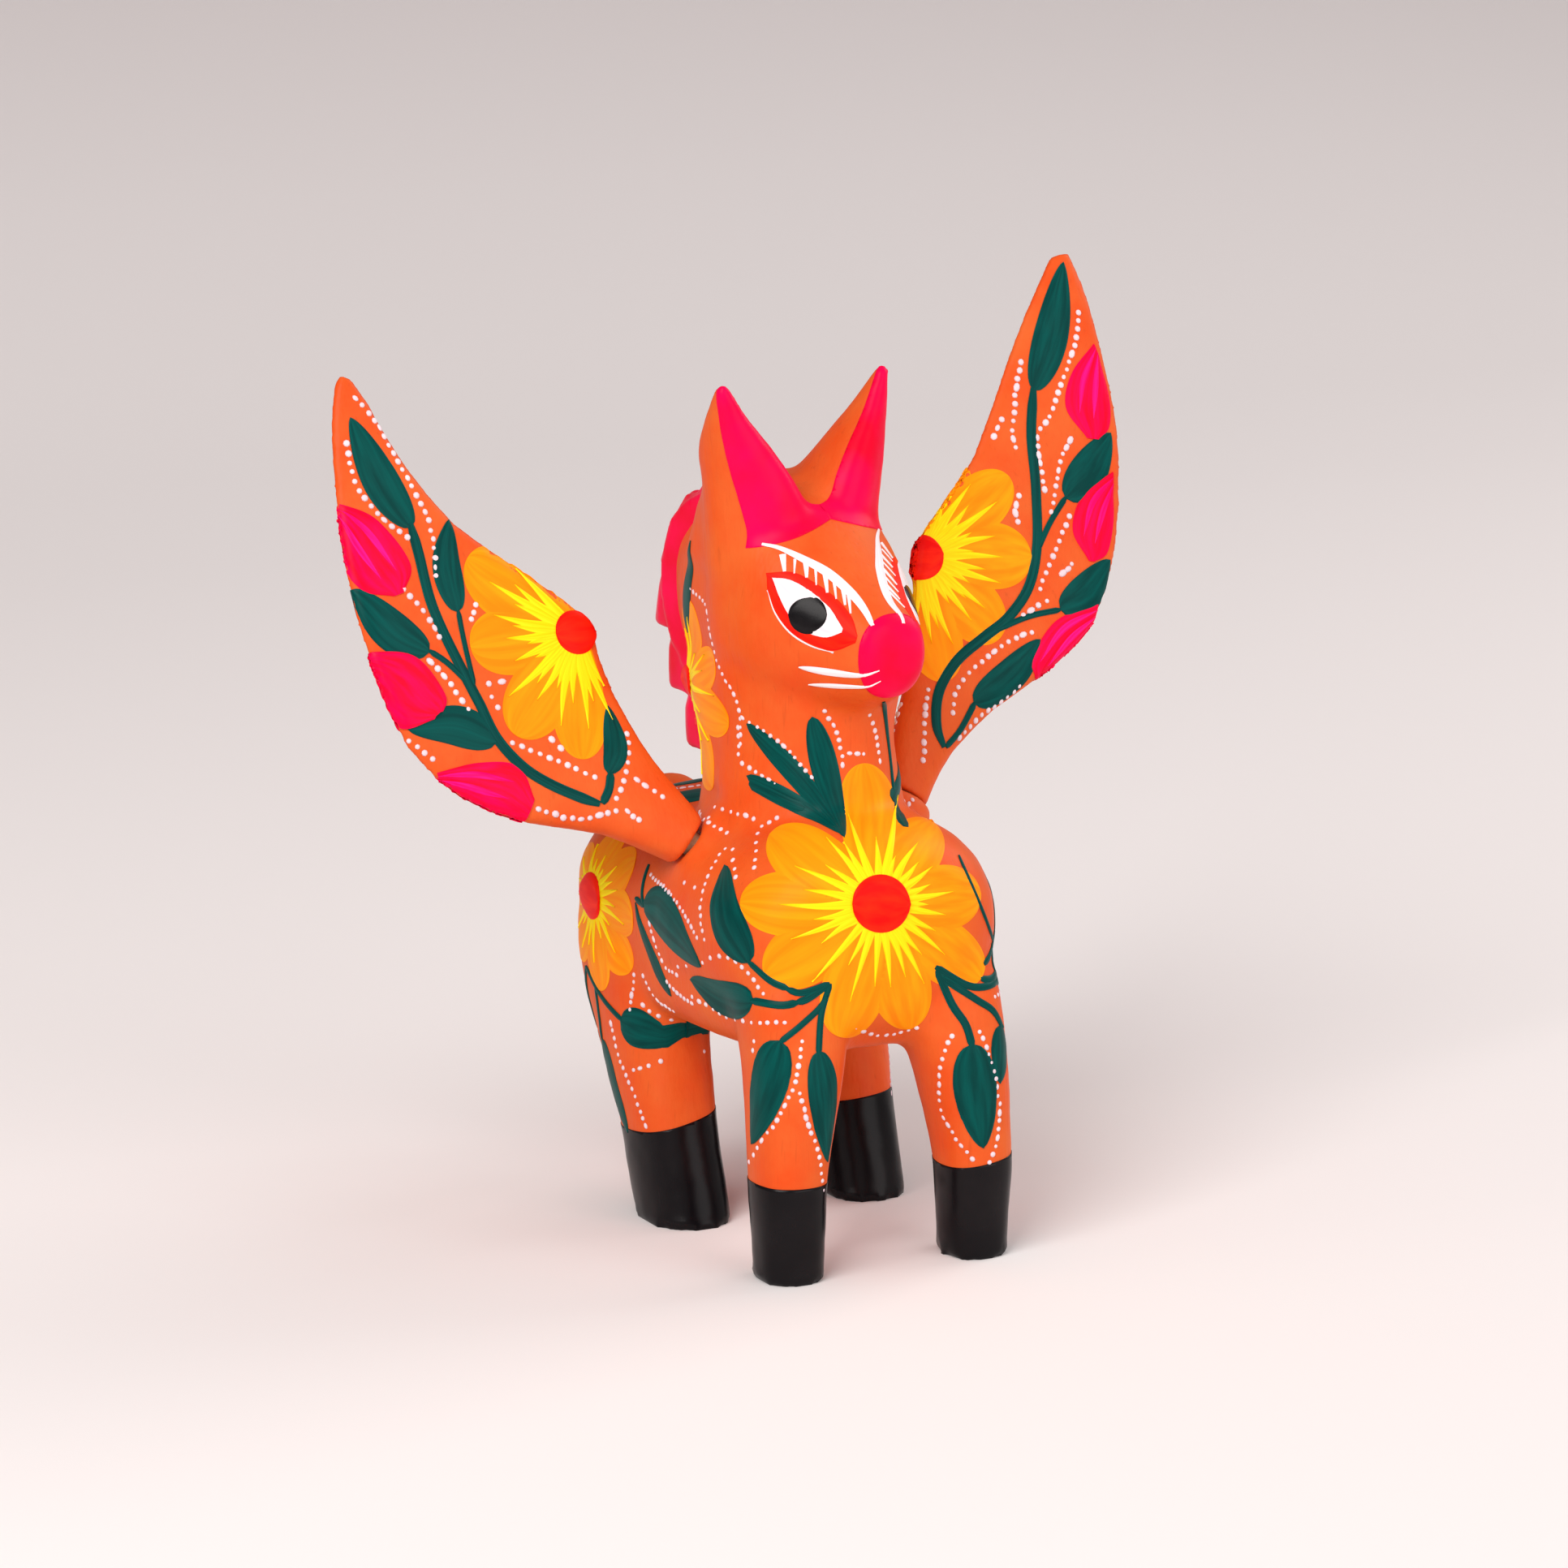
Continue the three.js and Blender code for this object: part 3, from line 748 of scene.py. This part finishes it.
# ---- the face --------------------------------------------------------------------------------
# Pink ear fronts joined by a band over the brow, and almond eyes: a red rim first, then white,
# then a black pupil. Brows, lashes and whiskers are drawn last with a fine brush in white.
ear_base = head_place + head_forward * 2.4 * MM + Vector((0, 0, block_high.z - 26 * MM))
ear_point = head_place - head_forward * 0.3 * MM + Vector((0, 0, block_high.z))
behind = (ear_point - ear_base).cross(head_left).normalized()
for side, sight, name in ((-1, face, "right"), (1, far_face, "left")):
    outward = head_left * side
    band_end = touch(block_skin, sight, (-6.8, 34.3))
    band_middle = touch(block_skin, sight, (5.2, 37.5))
    under = (band_middle - band_end).cross(head_forward)
    film_over(
        name + "_ear_front",
        [
            (ear_base + outward * 14 * MM, behind - outward * 0.17),
            (band_end, under if under.z < 0 else -under),
            (head_place, -outward),
        ],
        pink_coat,
        pink,
    )

red = painted("red_paint", (0.86, 0.004, 0.003), (1.0, 0.022, 0.004), 0.38, 5, 2)
white = painted("white_paint", (0.8, 0.72, 0.76), (0.95, 0.9, 0.92), 0.4, 5, 1)


def moved(points, aside):
    """The same drawn points, shifted sideways."""
    return [(across + aside, high) for across, high in points]


def half_ring(centre, radius, side):
    """The upper half of a circle, or with side -1 the lower, drawn from left to right."""
    half_turn = [math.pi * i / 8 for i in range(9)]
    return [
        (centre[0] - radius * math.cos(a), centre[1] + side * radius * math.sin(a))
        for a in half_turn]


eye_rims = []
eye_whites = []
eye_lines = []
pupils = []
for sight, aside in ((face, 0), (far_face, 2.2)):
    eye_rims.append(patch(
        block_skin, sight,
        moved([(-2.6, 30.7), (1.3, 30.8), (4.6, 29.2), (7.4, 27.2), (9.8, 24.4),
               (10.7, 21.6)], aside),
        moved([(-2.5, 30.2), (-2.3, 27.6), (-1.2, 25), (0.8, 22.3), (3.6, 20.5), (7.2, 19.4),
               (10.4, 20.5)], aside),
        0.12, 10,
    ))
    eye_whites.append(patch(
        block_skin, sight,
        moved([(-1.7, 30), (0.8, 29.8), (3.6, 28.4), (6.5, 26), (8.6, 22.6)], aside),
        moved([(-1.6, 29.8), (-0.6, 26.9), (0.9, 24.1), (3.2, 22), (6, 21.2), (8.4, 22)], aside),
        0.2, 8,
    ))
    pupils.append(patch(
        block_skin, sight,
        moved(half_ring((3.5, 24.6), 2.8, 1), aside),
        moved(half_ring((3.5, 24.6), 2.8, -1), aside),
        0.3, 8, 0.4,
    ))
    brow = [(-3.2, 34.9), (-0.6, 34.3), (3.2, 32.5), (6.5, 30.6), (9.8, 27.7), (11.7, 25.3),
            (12.9, 23)]
    eye_lines.append(stroke(
        block_skin, sight, moved(brow, aside),
        lambda t: 0.22 + 0.5 * math.sin(math.pi * t**1.3) + 0.1 * t, 0.22))
    below = [(-2.4, 28.2), (-1.3, 24.9), (0.9, 22), (3.9, 20.1), (7.2, 19.1)]
    eye_lines.append(stroke(
        block_skin, sight, moved(below, aside), lambda t: 0.14 * math.sin(math.pi * t) ** 0.5, 0.16, 2))
    for top, tip, width in (
        ((-0.2, 33.4), (0.1, 30.9), 0.9), ((1.6, 32.7), (1.5, 30.6), 0.4),
        ((3.2, 32.2), (3.3, 30), 0.8), ((4.6, 31.3), (4.7, 28.9), 0.4),
        ((6, 30.4), (6.3, 27.8), 0.7), ((7.3, 29.3), (7.6, 26.9), 0.45),
        ((8.6, 28.4), (8.9, 26), 0.65), ((9.4, 27.4), (9.7, 24.8), 0.5),
    ):
        eye_lines.append(stroke(
            block_skin, sight, moved([top, tip], aside),
            lambda t, width=width: width / 2 * (1.1 - 0.6 * t), 0.18, 2, 0.4))
    for whisker, width in (
        ([(2.2, 17.0), (6.5, 16.3), (11.2, 15.8), (13.8, 16.5)], 1.1),
        ([(3.6, 14.5), (9.3, 14.2), (12.2, 14.2), (14, 15)], 0.8),
    ):
        eye_lines.append(stroke(
            block_skin, sight, moved(whisker, -1.4 * aside),
            lambda t, width=width: width / 2 * (0.2 + 0.8 * math.sin(math.pi * t**0.7)), 0.2))
lay("eye_rims", eye_rims, red, "block")
lay("eye_whites", eye_whites, white, "block")
lay("pupils", pupils, black, "block")
lay("brows_lashes_whiskers", eye_lines, white, "block")

# ---- the chest flower ------------------------------------------------------------------------
# Nine golden petals over the whole chest, each one press of a loaded brush. Thin yellow flicks
# run out over them, and a thick red blob of paint makes the eye.
golden = painted("petal_paint", (1.0, 0.25, 0.002), (1.0, 0.36, 0.004), 0.42, 7, 1)
yellow = painted("yellow_paint", (1.0, 0.66, 0.002), (1.0, 0.86, 0.01), 0.42, 4, 1)


def flower(skin, sight, centre, tips, eye, rays, flick_width, petals, flicks, eyes):
    """Adds one flower's petals, flicks and eye to the lists of marks."""
    for i, (tip, width) in enumerate(tips):
        petals.append(petal(skin, sight, centre, tip, width, 0.09 + 0.02 * (i % 3)))
    arms = [Vector(tip) - Vector(centre) for tip, width in tips]
    angles = [math.atan2(arm.y, arm.x) for arm in arms]
    first, last, count = rays
    for i in range(count):
        angle = math.radians(first + (last - first) * (i + chance.uniform(-0.25, 0.25)) / count)
        gaps = [abs(math.remainder(angle - other, 2 * math.pi)) for other in angles]
        nearest = arms[gaps.index(min(gaps))].length
        length = nearest * (chance.uniform(0.64, 0.8) if i % 2 else chance.uniform(0.45, 0.6))
        flicks.append(ray(skin, sight, centre, angle, eye * 0.8, length - eye * 0.8, flick_width))
    eyes.append(patch(
        skin, sight, half_ring(centre, eye, 1), half_ring(centre, eye, -1), 0.62, 10, 0.5))


block_petals, block_flicks, block_eyes = [], [], []
flower(
    block_skin, quarter, (14, -17.4),
    [((11.4, 3), 8.6), ((21.5, -5.4), 8.6), ((28.6, -16), 9.5), ((28.6, -28.4), 9),
     ((18.4, -35.6), 9), ((8, -36.8), 9.4), ((-2.6, -28.2), 9.6), ((-6.4, -17.4), 9.6),
     ((-2.1, -7.4), 9.2)],
    4.2, (0, 360, 30), 1.5, block_petals, block_flicks, block_eyes,
)

# ---- flowers on the rump and on the neck -----------------------------------------------------
# The same flower, smaller, on each haunch and on each side of the neck, in the same three paints.
# All the block's flowers are laid together at the end, one film for each colour.
for sight in (flank, flank_left):
    flower(
        block_skin, sight, (-21, 47.3),
        [((-18.5, 57.5), 7), ((-10.5, 54.5), 7.5), ((-7, 46.5), 7.5), ((-9.5, 38), 7.5),
         ((-16.5, 33.5), 7.5), ((-25.5, 36.5), 7), ((-31.5, 43), 7), ((-28, 53), 7)],
        3.6, (0, 360, 24), 1.4, block_petals, block_flicks, block_eyes,
    )
    flower(
        block_skin, sight, (-12.5, 80),
        [((-6, 93.5), 8), ((2.5, 86), 7), ((5.5, 77.5), 7.5), ((1, 67), 8), ((-8, 66), 7)],
        2.6, (-110, 100, 13), 1.3, block_petals, block_flicks, block_eyes,
    )
lay("block_petals", block_petals, golden, "block")
lay("block_flicks", block_flicks, yellow, "block")
lay("block_flower_eyes", block_eyes, red, "block")

# ---- leaves on the block ---------------------------------------------------------------------
# Dark green leaves and stems in one thin coat of acrylic. They run from the chest flower over the
# flanks and down the legs, and over the back and the rump as well.
green = painted("green_paint", (0.0, 0.046, 0.042), (0.0, 0.082, 0.072), 0.34, 6, 1)
greens = []
for sight in (quarter, quarter_left):
    greens += [
        leaf(block_skin, sight, [(-5, -26), (-8.8, -19), (-8.6, -11.8)], 6.2),
        leaf(block_skin, sight, [(-4.4, -31.6), (-9, -31), (-13.6, -28.4)], 5.4),
        stem(block_skin, sight, [(-5.2, -25.8), (-2, -28.6), (0.6, -29.8)], 1),
        stem(block_skin, sight, [(-4.8, -31.5), (-0.5, -32.2), (2, -31.8)], 1.1),
        stem(block_skin, sight, [(-4.9, 0.4), (-0.6, -2), (3, -3.6)], 2.1),
    ]
greens += [
    stem(block_skin, quarter, [(0.4, -29.8), (2.6, -30.4), (6.6, -29)], 1),
    stem(block_skin, quarter, [(1.8, -31.8), (3.5, -31.2), (6.6, -29)], 1.1),
    leaf(block_skin, quarter, [(-0.6, -37.3), (-2.4, -43), (-4.7, -52.4)], 6.6),
    stem(block_skin, quarter, [(-0.6, -37.6), (2.6, -35), (5.6, -32), (6.6, -29)], 0.9),
    leaf(block_skin, quarter, [(5, -38.8), (6, -46), (6.3, -55)], 4.8),
    stem(block_skin, quarter, [(5, -39.4), (5.4, -33.6), (6.7, -29)], 1),
    leaf(block_skin, quarter, [(-5.4, 8.8), (2, 1), (8.8, -7.8)], 2.8),
    leaf(block_skin, quarter, [(4.1, 9.8), (6.8, -1), (8.8, -7.8)], 3.6),
    leaf(block_skin, quarter, [(-5.4, 1.2), (3, -3.6), (8.6, -7.4)], 2.4),
    leaf(block_skin, quarter, [(31.4, -35), (31.6, -39), (31.4, -43.6)], 4),
    stem(block_skin, quarter, [(14.5, 12), (15.4, 4), (16.2, -2.6), (17.4, -5.6)], 0.9),
    stem(block_skin, quarter, [(16.4, -3.6), (17, -5), (17.7, -6.3)], 1.6),
    stem(block_skin, quarter, [(22.2, -27), (24.4, -32), (26.4, -35), (27.4, -38.2)], 1.2),
    leaf(block_skin, quarter, [(27.3, -37.8), (28, -45), (29, -53)], 6.4),
    stem(block_skin, quarter, [(22, -26.6), (26.4, -29.2), (29.2, -29.5), (31.6, -28.4)], 1.1),
    stem(block_skin, quarter, [(31.6, -28.4), (30.6, -23.5), (29, -18.8), (25.4, -10.4)], 0.7),
    stem(block_skin, quarter, [(23, -28.2), (28, -31.4), (30.4, -33), (31.8, -35.4)], 1.1),
]
for sight in (flank, flank_left):
    greens += [
        leaf(block_skin, sight, [(-3.5, 50), (3, 50), (16, 44.6)], 6.6),
        stem(block_skin, sight, [(-6, 55), (-4.6, 51), (-3.2, 49.6)], 0.9),
        stem(block_skin, sight, [(-6.6, 50), (-3.2, 49.6)], 1),
        leaf(block_skin, sight, [(3.4, 37), (-1, 41), (-6.4, 49.4)], 2.4),
        leaf(block_skin, sight, [(-11.4, 30.2), (-8, 29.4), (-3.6, 27.8)], 5.2),
        stem(block_skin, sight, [(-22.5, 36), (-18, 33), (-11, 30.2)], 0.9),
        leaf(block_skin, sight, [(-18, 25.6), (-15, 19), (-10, 12.6)], 4.2),
        stem(block_skin, sight, [(-19, 33.4), (-18.4, 29), (-18, 25.4)], 0.8),
        leaf(block_skin, sight, [(-22.6, 26), (-21, 20), (-17.5, 14.8)], 3.6),
        stem(block_skin, sight, [(-22.6, 36), (-23.6, 31), (-22.6, 26)], 0.8),
        leaf(block_skin, sight, [(-10.6, 88), (-7.6, 96), (-4.4, 103.4)], 2.8),
    ]
rear = drawing(foot_of_block, math.radians(180), 0.1, (0, 45))


def above(across, high):
    """A drawing laid flat over the back, under the overhang of the mane."""
    over = foot_of_block + Vector((across, high, 66)) * MM
    return over, Vector((0, 0, -1))


above.home = Vector((0, 24))
for side in (1, -1):
    greens += [
        stem(block_skin, rear, [(side * 6.5, 41), (side * 10, 37), (side * 13, 31),
                                (side * 14, 25)], 0.9),
        leaf(block_skin, rear, [(side * 10, 37), (side * 14, 39.4), (side * 17.5, 45)], 5.2),
        leaf(block_skin, rear, [(side * 13, 31), (side * 10.4, 26), (side * 9.8, 19)], 4.2),
        leaf(block_skin, rear, [(side * 14, 25.4), (side * 16, 21.4), (side * 16.2, 17)], 3.8),
        leaf(block_skin, above, [(side * 3.4, 14.5), (side * 8, 16.5), (side * 11, 21)], 5),
        leaf(block_skin, above, [(side * 1.6, 23.5), (side * 5, 25.6), (side * 7.4, 30)], 4.4),
    ]
greens.append(stem(block_skin, above, [(0.2, 17), (0.4, 23), (0, 31)], 1.1))
lay("block_leaves", greens, green, "block")

# ---- white dots on the block -----------------------------------------------------------------
# Small dabs of off-white acrylic, set one by one with the end of a stick. The rows follow the
# leaves and fill the spaces between them, and each dot stands up as a low round bead.
dot_white = painted("dot_white_paint", (0.78, 0.62, 0.68), (0.88, 0.76, 0.81), 0.4, 5, 1)
dot_radius = 0.37
dot_gap = 1.2
wing_dot_radius = 0.46
wing_dot_gap = 1.4
rows = []
for sight in (quarter, quarter_left):
    for points in (
        [(-7.4, -9.5), (-8.8, -9.6), (-11, -13.4), (-12.1, -17), (-12.1, -20), (-11.6, -22.6)],
        [(-7.4, -11), (-7, -13.6)],
        [(-14.4, -14.4), (-13, -15)],
        [(-11, -5.6), (-9.6, -6.4), (-8.4, -7.2)],
        [(-10, -3.4), (-7.8, -4), (-4.4, -5)],
        [(-15.4, -26.5), (-14, -26.5), (-12, -26), (-9.5, -25.1), (-7, -26), (-4.4, -28.6),
         (-3, -30.5)],
        [(-13.4, -31), (-10.4, -32.6), (-8.4, -34), (-5, -34.6), (0, -34.8)],
        [(-6.6, 8.2), (-6.6, 6), (-6.4, 3.4), (-5, 2.4)],
    ):
        rows.append(dots(block_skin, sight, points, dot_radius, dot_gap))
for points in (
    [(-1, -5), (-3.4, -6.4), (-4, -8.6), (-4.4, -12.2)],
    [(-4.4, -37.4), (-4.6, -38.8)],
    [(2.6, -37.4), (2, -42), (1, -45), (-1.1, -49), (-3.1, -51.6), (-5, -55)],
    [(2.4, -45), (3.5, -49.4), (5, -53.4), (5.5, -57), (5.8, -59)],
    [(-6, 9.6), (-2, 7), (1, 4.4), (4, 1)],
    [(-5, 2.4), (-0.5, -0.6)],
    [(6, 10.6), (7.4, 8), (8.4, 4.4), (8.5, 2.8)],
    [(9.6, 4.4), (11.6, 4.4)],
    [(12.5, 10), (13.4, 7), (14, 3.4)],
    [(24.4, -36.6), (23, -40), (22.6, -44), (23, -48), (25, -51.6), (27.4, -54.6)],
    [(28.4, -36), (29.6, -38.6), (30.6, -42), (31.2, -45.4), (31.4, -48), (31, -51.6), (30, -55)],
    [(10.4, -35.6), (14, -36.6), (17, -36.2), (19.2, -35.4)],
):
    rows.append(dots(block_skin, quarter, points, dot_radius, dot_gap))
for sight in (flank, flank_left):
    for points in (
        [(-4, 54), (5, 53.2), (12, 51), (15.6, 49)],
        [(-1, 47.4), (0.5, 43.6), (2.6, 41.2), (6, 41)],
        [(2.4, 39), (5.5, 38), (10, 37.4)],
        [(-9, 37.5), (-9.5, 32)],
        [(-6, 38), (-3, 34.8), (1.5, 34)],
        [(-7.4, 33), (-6, 31.8), (-2.6, 29.6)],
        [(-3, 26.4), (-5, 24.4), (-8, 23)],
        [(-14, 29), (-12, 24.4), (-8, 19.6), (-5, 14.8)],
        [(-6.4, 95.6), (0, 94), (2.6, 87.4), (7.4, 81.6), (8.4, 75)],
        [(-3, 62.6), (1, 62.4), (4, 63.4)],
    ):
        rows.append(dots(block_skin, sight, points, dot_radius, dot_gap))
for side in (1, -1):
    for sight, points in (
        (rear, [(7, 46), (9, 50.6), (12.6, 54.6)]),
        (rear, [(16.6, 35), (18.4, 28), (18.6, 20)]),
        (rear, [(8.6, 31), (7.2, 25), (7.8, 17.6)]),
        (rear, [(12.6, 44), (15, 49), (18, 52)]),
        (above, [(14, 13), (14, 21), (11, 28.6)]),
        (above, [(2.4, 19.4), (6.4, 21), (10.4, 24.4)]),
        (above, [(1.6, 28), (3.4, 30.4), (4.6, 33)]),
    ):
        points = [(side * across, high) for across, high in points]
        rows.append(dots(block_skin, sight, points, dot_radius, dot_gap))
lay_dots("block_dots", rows, dot_white, "block")

# ---- the tail's ornament ---------------------------------------------------------------------
# One green vine with four leaves down the outside of the tail, and a row of white dots on either
# side of it, in the same paints as on the block. It moves with the tail.
vine = [stem(tail_skin, rear, [(0, 52), (0.3, 42), (0, 30), (-0.2, 26)], 0.9)]
for side, high in ((1, 49), (-1, 44.6), (1, 39), (-1, 34)):
    blade = [(0, high), (side * 1.8, high - 2.2), (side * 2.6, high - 6.4)]
    vine.append(leaf(tail_skin, rear, blade, 2.6))
lay("tail_leaves", vine, green, "tail_carving")
tail_rows = [
    dots(tail_skin, rear, [(side * 4.4, 52), (side * 4.6, 42), (side * 3.2, 31),
                           (side * 1.4, 22)], dot_radius, dot_gap)
    for side in (1, -1)
]
lay_dots("tail_dots", tail_rows, dot_white, "tail_carving")

# ---- wing ornament ---------------------------------------------------------------------------
# Each blade has half a flower on its inner edge, a vine of leaves up its middle and three pink
# buds on its outer edge, all in the same thick acrylic as the block. Both faces are alike.
joints = {joint["name"]: joint for joint in frame["joints"]}
wing_lean = math.radians(23)


def blade_drawing(side, seat, face_side):
    """A drawing held flat against a wing: millimetres out from the root and up the blade."""
    out = Vector((side, 0, 0))
    up = Vector((0, math.sin(wing_lean), math.cos(wing_lean)))
    back = Vector((0, -math.cos(wing_lean), math.sin(wing_lean))) * face_side

    def sight(across, high):
        target = seat + (out * across + up * high) * MM
        return target + back * view_distance, -back

    sight.home = Vector((24, 30))
    return sight


right_blade = {
    "eye": (12.6, 32.2), "eye_size": 3.3, "rays": (-112, 62, 20),
    "petals": [((27.6, 44.6), 11), ((29.6, 31.6), 10), ((25, 18), 9.6), ((15.4, 13.4), 8.6)],
    "stems": [
        ([(14, 6.6), (17, 8), (21.5, 10.6), (25, 13.6), (28, 18), (29.6, 23), (31, 27), (33, 33),
          (34.5, 39), (35, 45.5), (35.5, 50.5)], 1.6),
        ([(30, 26), (30.4, 32), (30.5, 37)], 0.8),
        ([(31, 26.6), (33.6, 29.6), (36, 31.6)], 0.9),
        ([(13.6, 6.6), (12.2, 8.6), (11.4, 11)], 1.3),
    ],
    "leaves": [
        ([(35.4, 49.8), (38.8, 57), (41.8, 66.8)], 5.2), ([(30.6, 36.8), (31, 44), (29.2, 50.6)], 4),
        ([(36, 31.4), (41, 35), (46, 42)], 5.4), ([(28, 17.4), (34, 20.4), (41, 20.6)], 5.4),
        ([(11.8, 10.8), (9.8, 14.6), (9.6, 21)], 3.4),
    ],
    "buds": [
        ([(45.4, 54.4), (40.5, 51.4), (36.6, 44.6), (38.4, 40.4)],
         [(46, 52), (46.4, 46), (44.4, 41.4), (40, 40)]),
        ([(46, 32.6), (38.5, 31), (34.8, 25), (36, 22.2)],
         [(45, 30), (44, 24), (41.5, 20.8), (37, 21.8)]),
        ([(37.6, 14), (31, 14.6), (25.4, 13.4), (23.8, 8.4)],
         [(37, 12.4), (33, 8.6), (29, 6.2), (25.4, 5.4)]),
    ],
    "dots": [
        [(40.5, 69.5), (38.6, 67), (37, 64), (35.3, 59), (33.9, 55.4), (32.6, 51.4), (32.4, 47),
         (33, 42.4)],
        [(43, 63), (43, 59.5), (42.6, 56.6), (41, 53.6), (39.4, 51.4), (36.2, 48.4)],
        [(38.4, 41), (36.4, 38.4), (34.8, 35.6), (34, 33.4)],
        [(36, 30), (34.2, 27.6), (33, 25.4), (31.6, 22.6)],
        [(27.6, 37.6), (28.6, 35.6)], [(27.6, 26), (25.6, 26)], [(27.6, 24), (27, 22.4)],
        [(25.6, 17), (20, 14), (14, 10.6)], [(19.6, 16.8), (18.4, 15.4)],
        [(7.4, 16.6), (7.6, 14), (9.6, 9.6), (11.2, 7.2)], [(7.4, 9.6), (4, 6.6)],
        [(23.4, 7), (20.6, 5.8), (18.4, 5), (15, 4.9), (11.6, 5.4)], [(10, 5), (8.4, 3.6)],
        [(41, 19), (39.4, 17.4), (38, 16)],
    ],
}
left_blade = {
    "eye": (9.6, 35.8), "eye_size": 3.6, "rays": (-105, 80, 21),
    "petals": [((18.5, 52.4), 9.6), ((26.6, 46.6), 8.6), ((27.8, 34.2), 10.4), ((20, 22.2), 10),
               ((9, 16.4), 9)],
    "stems": [
        ([(7, 6.6), (6.4, 10), (8, 15), (12, 19.4), (17.4, 22.6), (22, 25.2), (26.4, 29.6), (29, 35.6),
          (30.6, 44), (31.6, 52.4), (33.6, 60)], 1.6),
        ([(7.4, 6.6), (10.4, 9), (13.6, 12.8)], 1),
        ([(29, 35), (32, 39), (35.4, 42.6)], 0.9),
        ([(19.4, 23.4), (25.4, 25), (31, 25.6)], 0.9),
    ],
    "leaves": [
        ([(33.6, 59.4), (38.4, 68), (42.8, 79)], 5), ([(35.4, 42.4), (40, 46), (45.4, 52)], 5.6),
        ([(31, 25.6), (36, 27.6), (41.4, 32.6)], 5.4), ([(13.4, 12.8), (20, 15.8), (26.6, 21.4)], 5),
    ],
    "buds": [
        ([(45.4, 66), (40.5, 61.6), (38.4, 56.4), (41, 51.4)],
         [(46, 63.6), (46.4, 57.6), (45.4, 53), (43, 51)]),
        ([(44.6, 46), (38.6, 43), (35.6, 37.6), (37.4, 32.6)],
         [(44, 43), (43, 38), (41, 33.6), (38.4, 32.4)]),
        ([(38, 26), (30, 24), (24.6, 18.6), (25, 15.8)],
         [(36.6, 23), (33.6, 19.6), (29, 16.6), (26.6, 15.4)]),
    ],
    "dots": [
        [(43.8, 71), (42, 66), (38, 59.6), (35.2, 55), (33, 53), (32.2, 49.6), (32.2, 44)],
        [(32.4, 64), (30.6, 59.6), (29.6, 56), (28.6, 53), (28.6, 51)], [(27.4, 55.4), (25.6, 53)],
        [(38, 51.4), (35.6, 48), (33.6, 43), (32.6, 40.6)], [(27.6, 43.4), (26.6, 41.4), (26.6, 39.6)],
        [(35.4, 39.6), (33, 36), (30.6, 32.6), (28.2, 29)], [(34.4, 32.4), (32.6, 31)],
        [(29, 27), (26.6, 26.2), (24.6, 25.2)],
        [(25.4, 22.6), (21.6, 21.6), (18, 20), (14, 17.6), (11, 15), (9.6, 11.6)],
        [(22, 14.8), (19, 12.9), (14.6, 10.8), (10.2, 7.8)],
        [(6.4, 15.6), (5, 12), (3.6, 7), (3, 5)], [(2, 13.6), (0.2, 10)],
    ],
}
rose = painted("rose_paint", (0.95, 0.0, 0.12), (1.0, 0.01, 0.27), 0.34, 4, 1)
for name, side, art in (("right", -1, right_blade), ("left", 1, left_blade)):
    skin = wing_skins[name]
    seat = Vector(joints[name + "_wing_swivel"]["pos_m"])
    body = name + "_wing_blade"
    petals, flicks, eyes, leaves, buds, shines, dabs = [], [], [], [], [], [], []
    for face_side in (1, -1):
        sight = blade_drawing(side, seat, face_side)
        flower(skin, sight, art["eye"], art["petals"], art["eye_size"], art["rays"], 1.9,
               petals, flicks, eyes)
        leaves += [stem(skin, sight, points, width) for points, width in art["stems"]]
        leaves += [leaf(skin, sight, points, width) for points, width in art["leaves"]]
        buds += [patch(skin, sight, first, second, 0.22, 14) for first, second in art["buds"]]
        for first, second in art["buds"]:
            inner = [Vector(a).lerp(Vector(b), 0.3) for a, b in zip(first[:3], second[:3])]
            outer = [Vector(a).lerp(Vector(b), 0.62) for a, b in zip(first[:3], second[:3])]
            for edge in (inner, outer):
                shines.append(stroke(skin, sight, edge, lambda t: 0.75 * math.sin(math.pi * t), 0.28))
        dabs += [
            dots(skin, sight, points, wing_dot_radius, wing_dot_gap) for points in art["dots"]]
    lay(name + "_wing_petals", petals, golden, body)
    lay(name + "_wing_flicks", flicks, yellow, body)
    lay(name + "_wing_flower_eyes", eyes, red, body)
    lay(name + "_wing_leaves", leaves, green, body)
    lay(name + "_wing_buds", buds, pink, body)
    lay(name + "_wing_bud_shines", shines, rose, body)
    lay_dots(name + "_wing_dots", dabs, dot_white, body)

low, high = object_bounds()
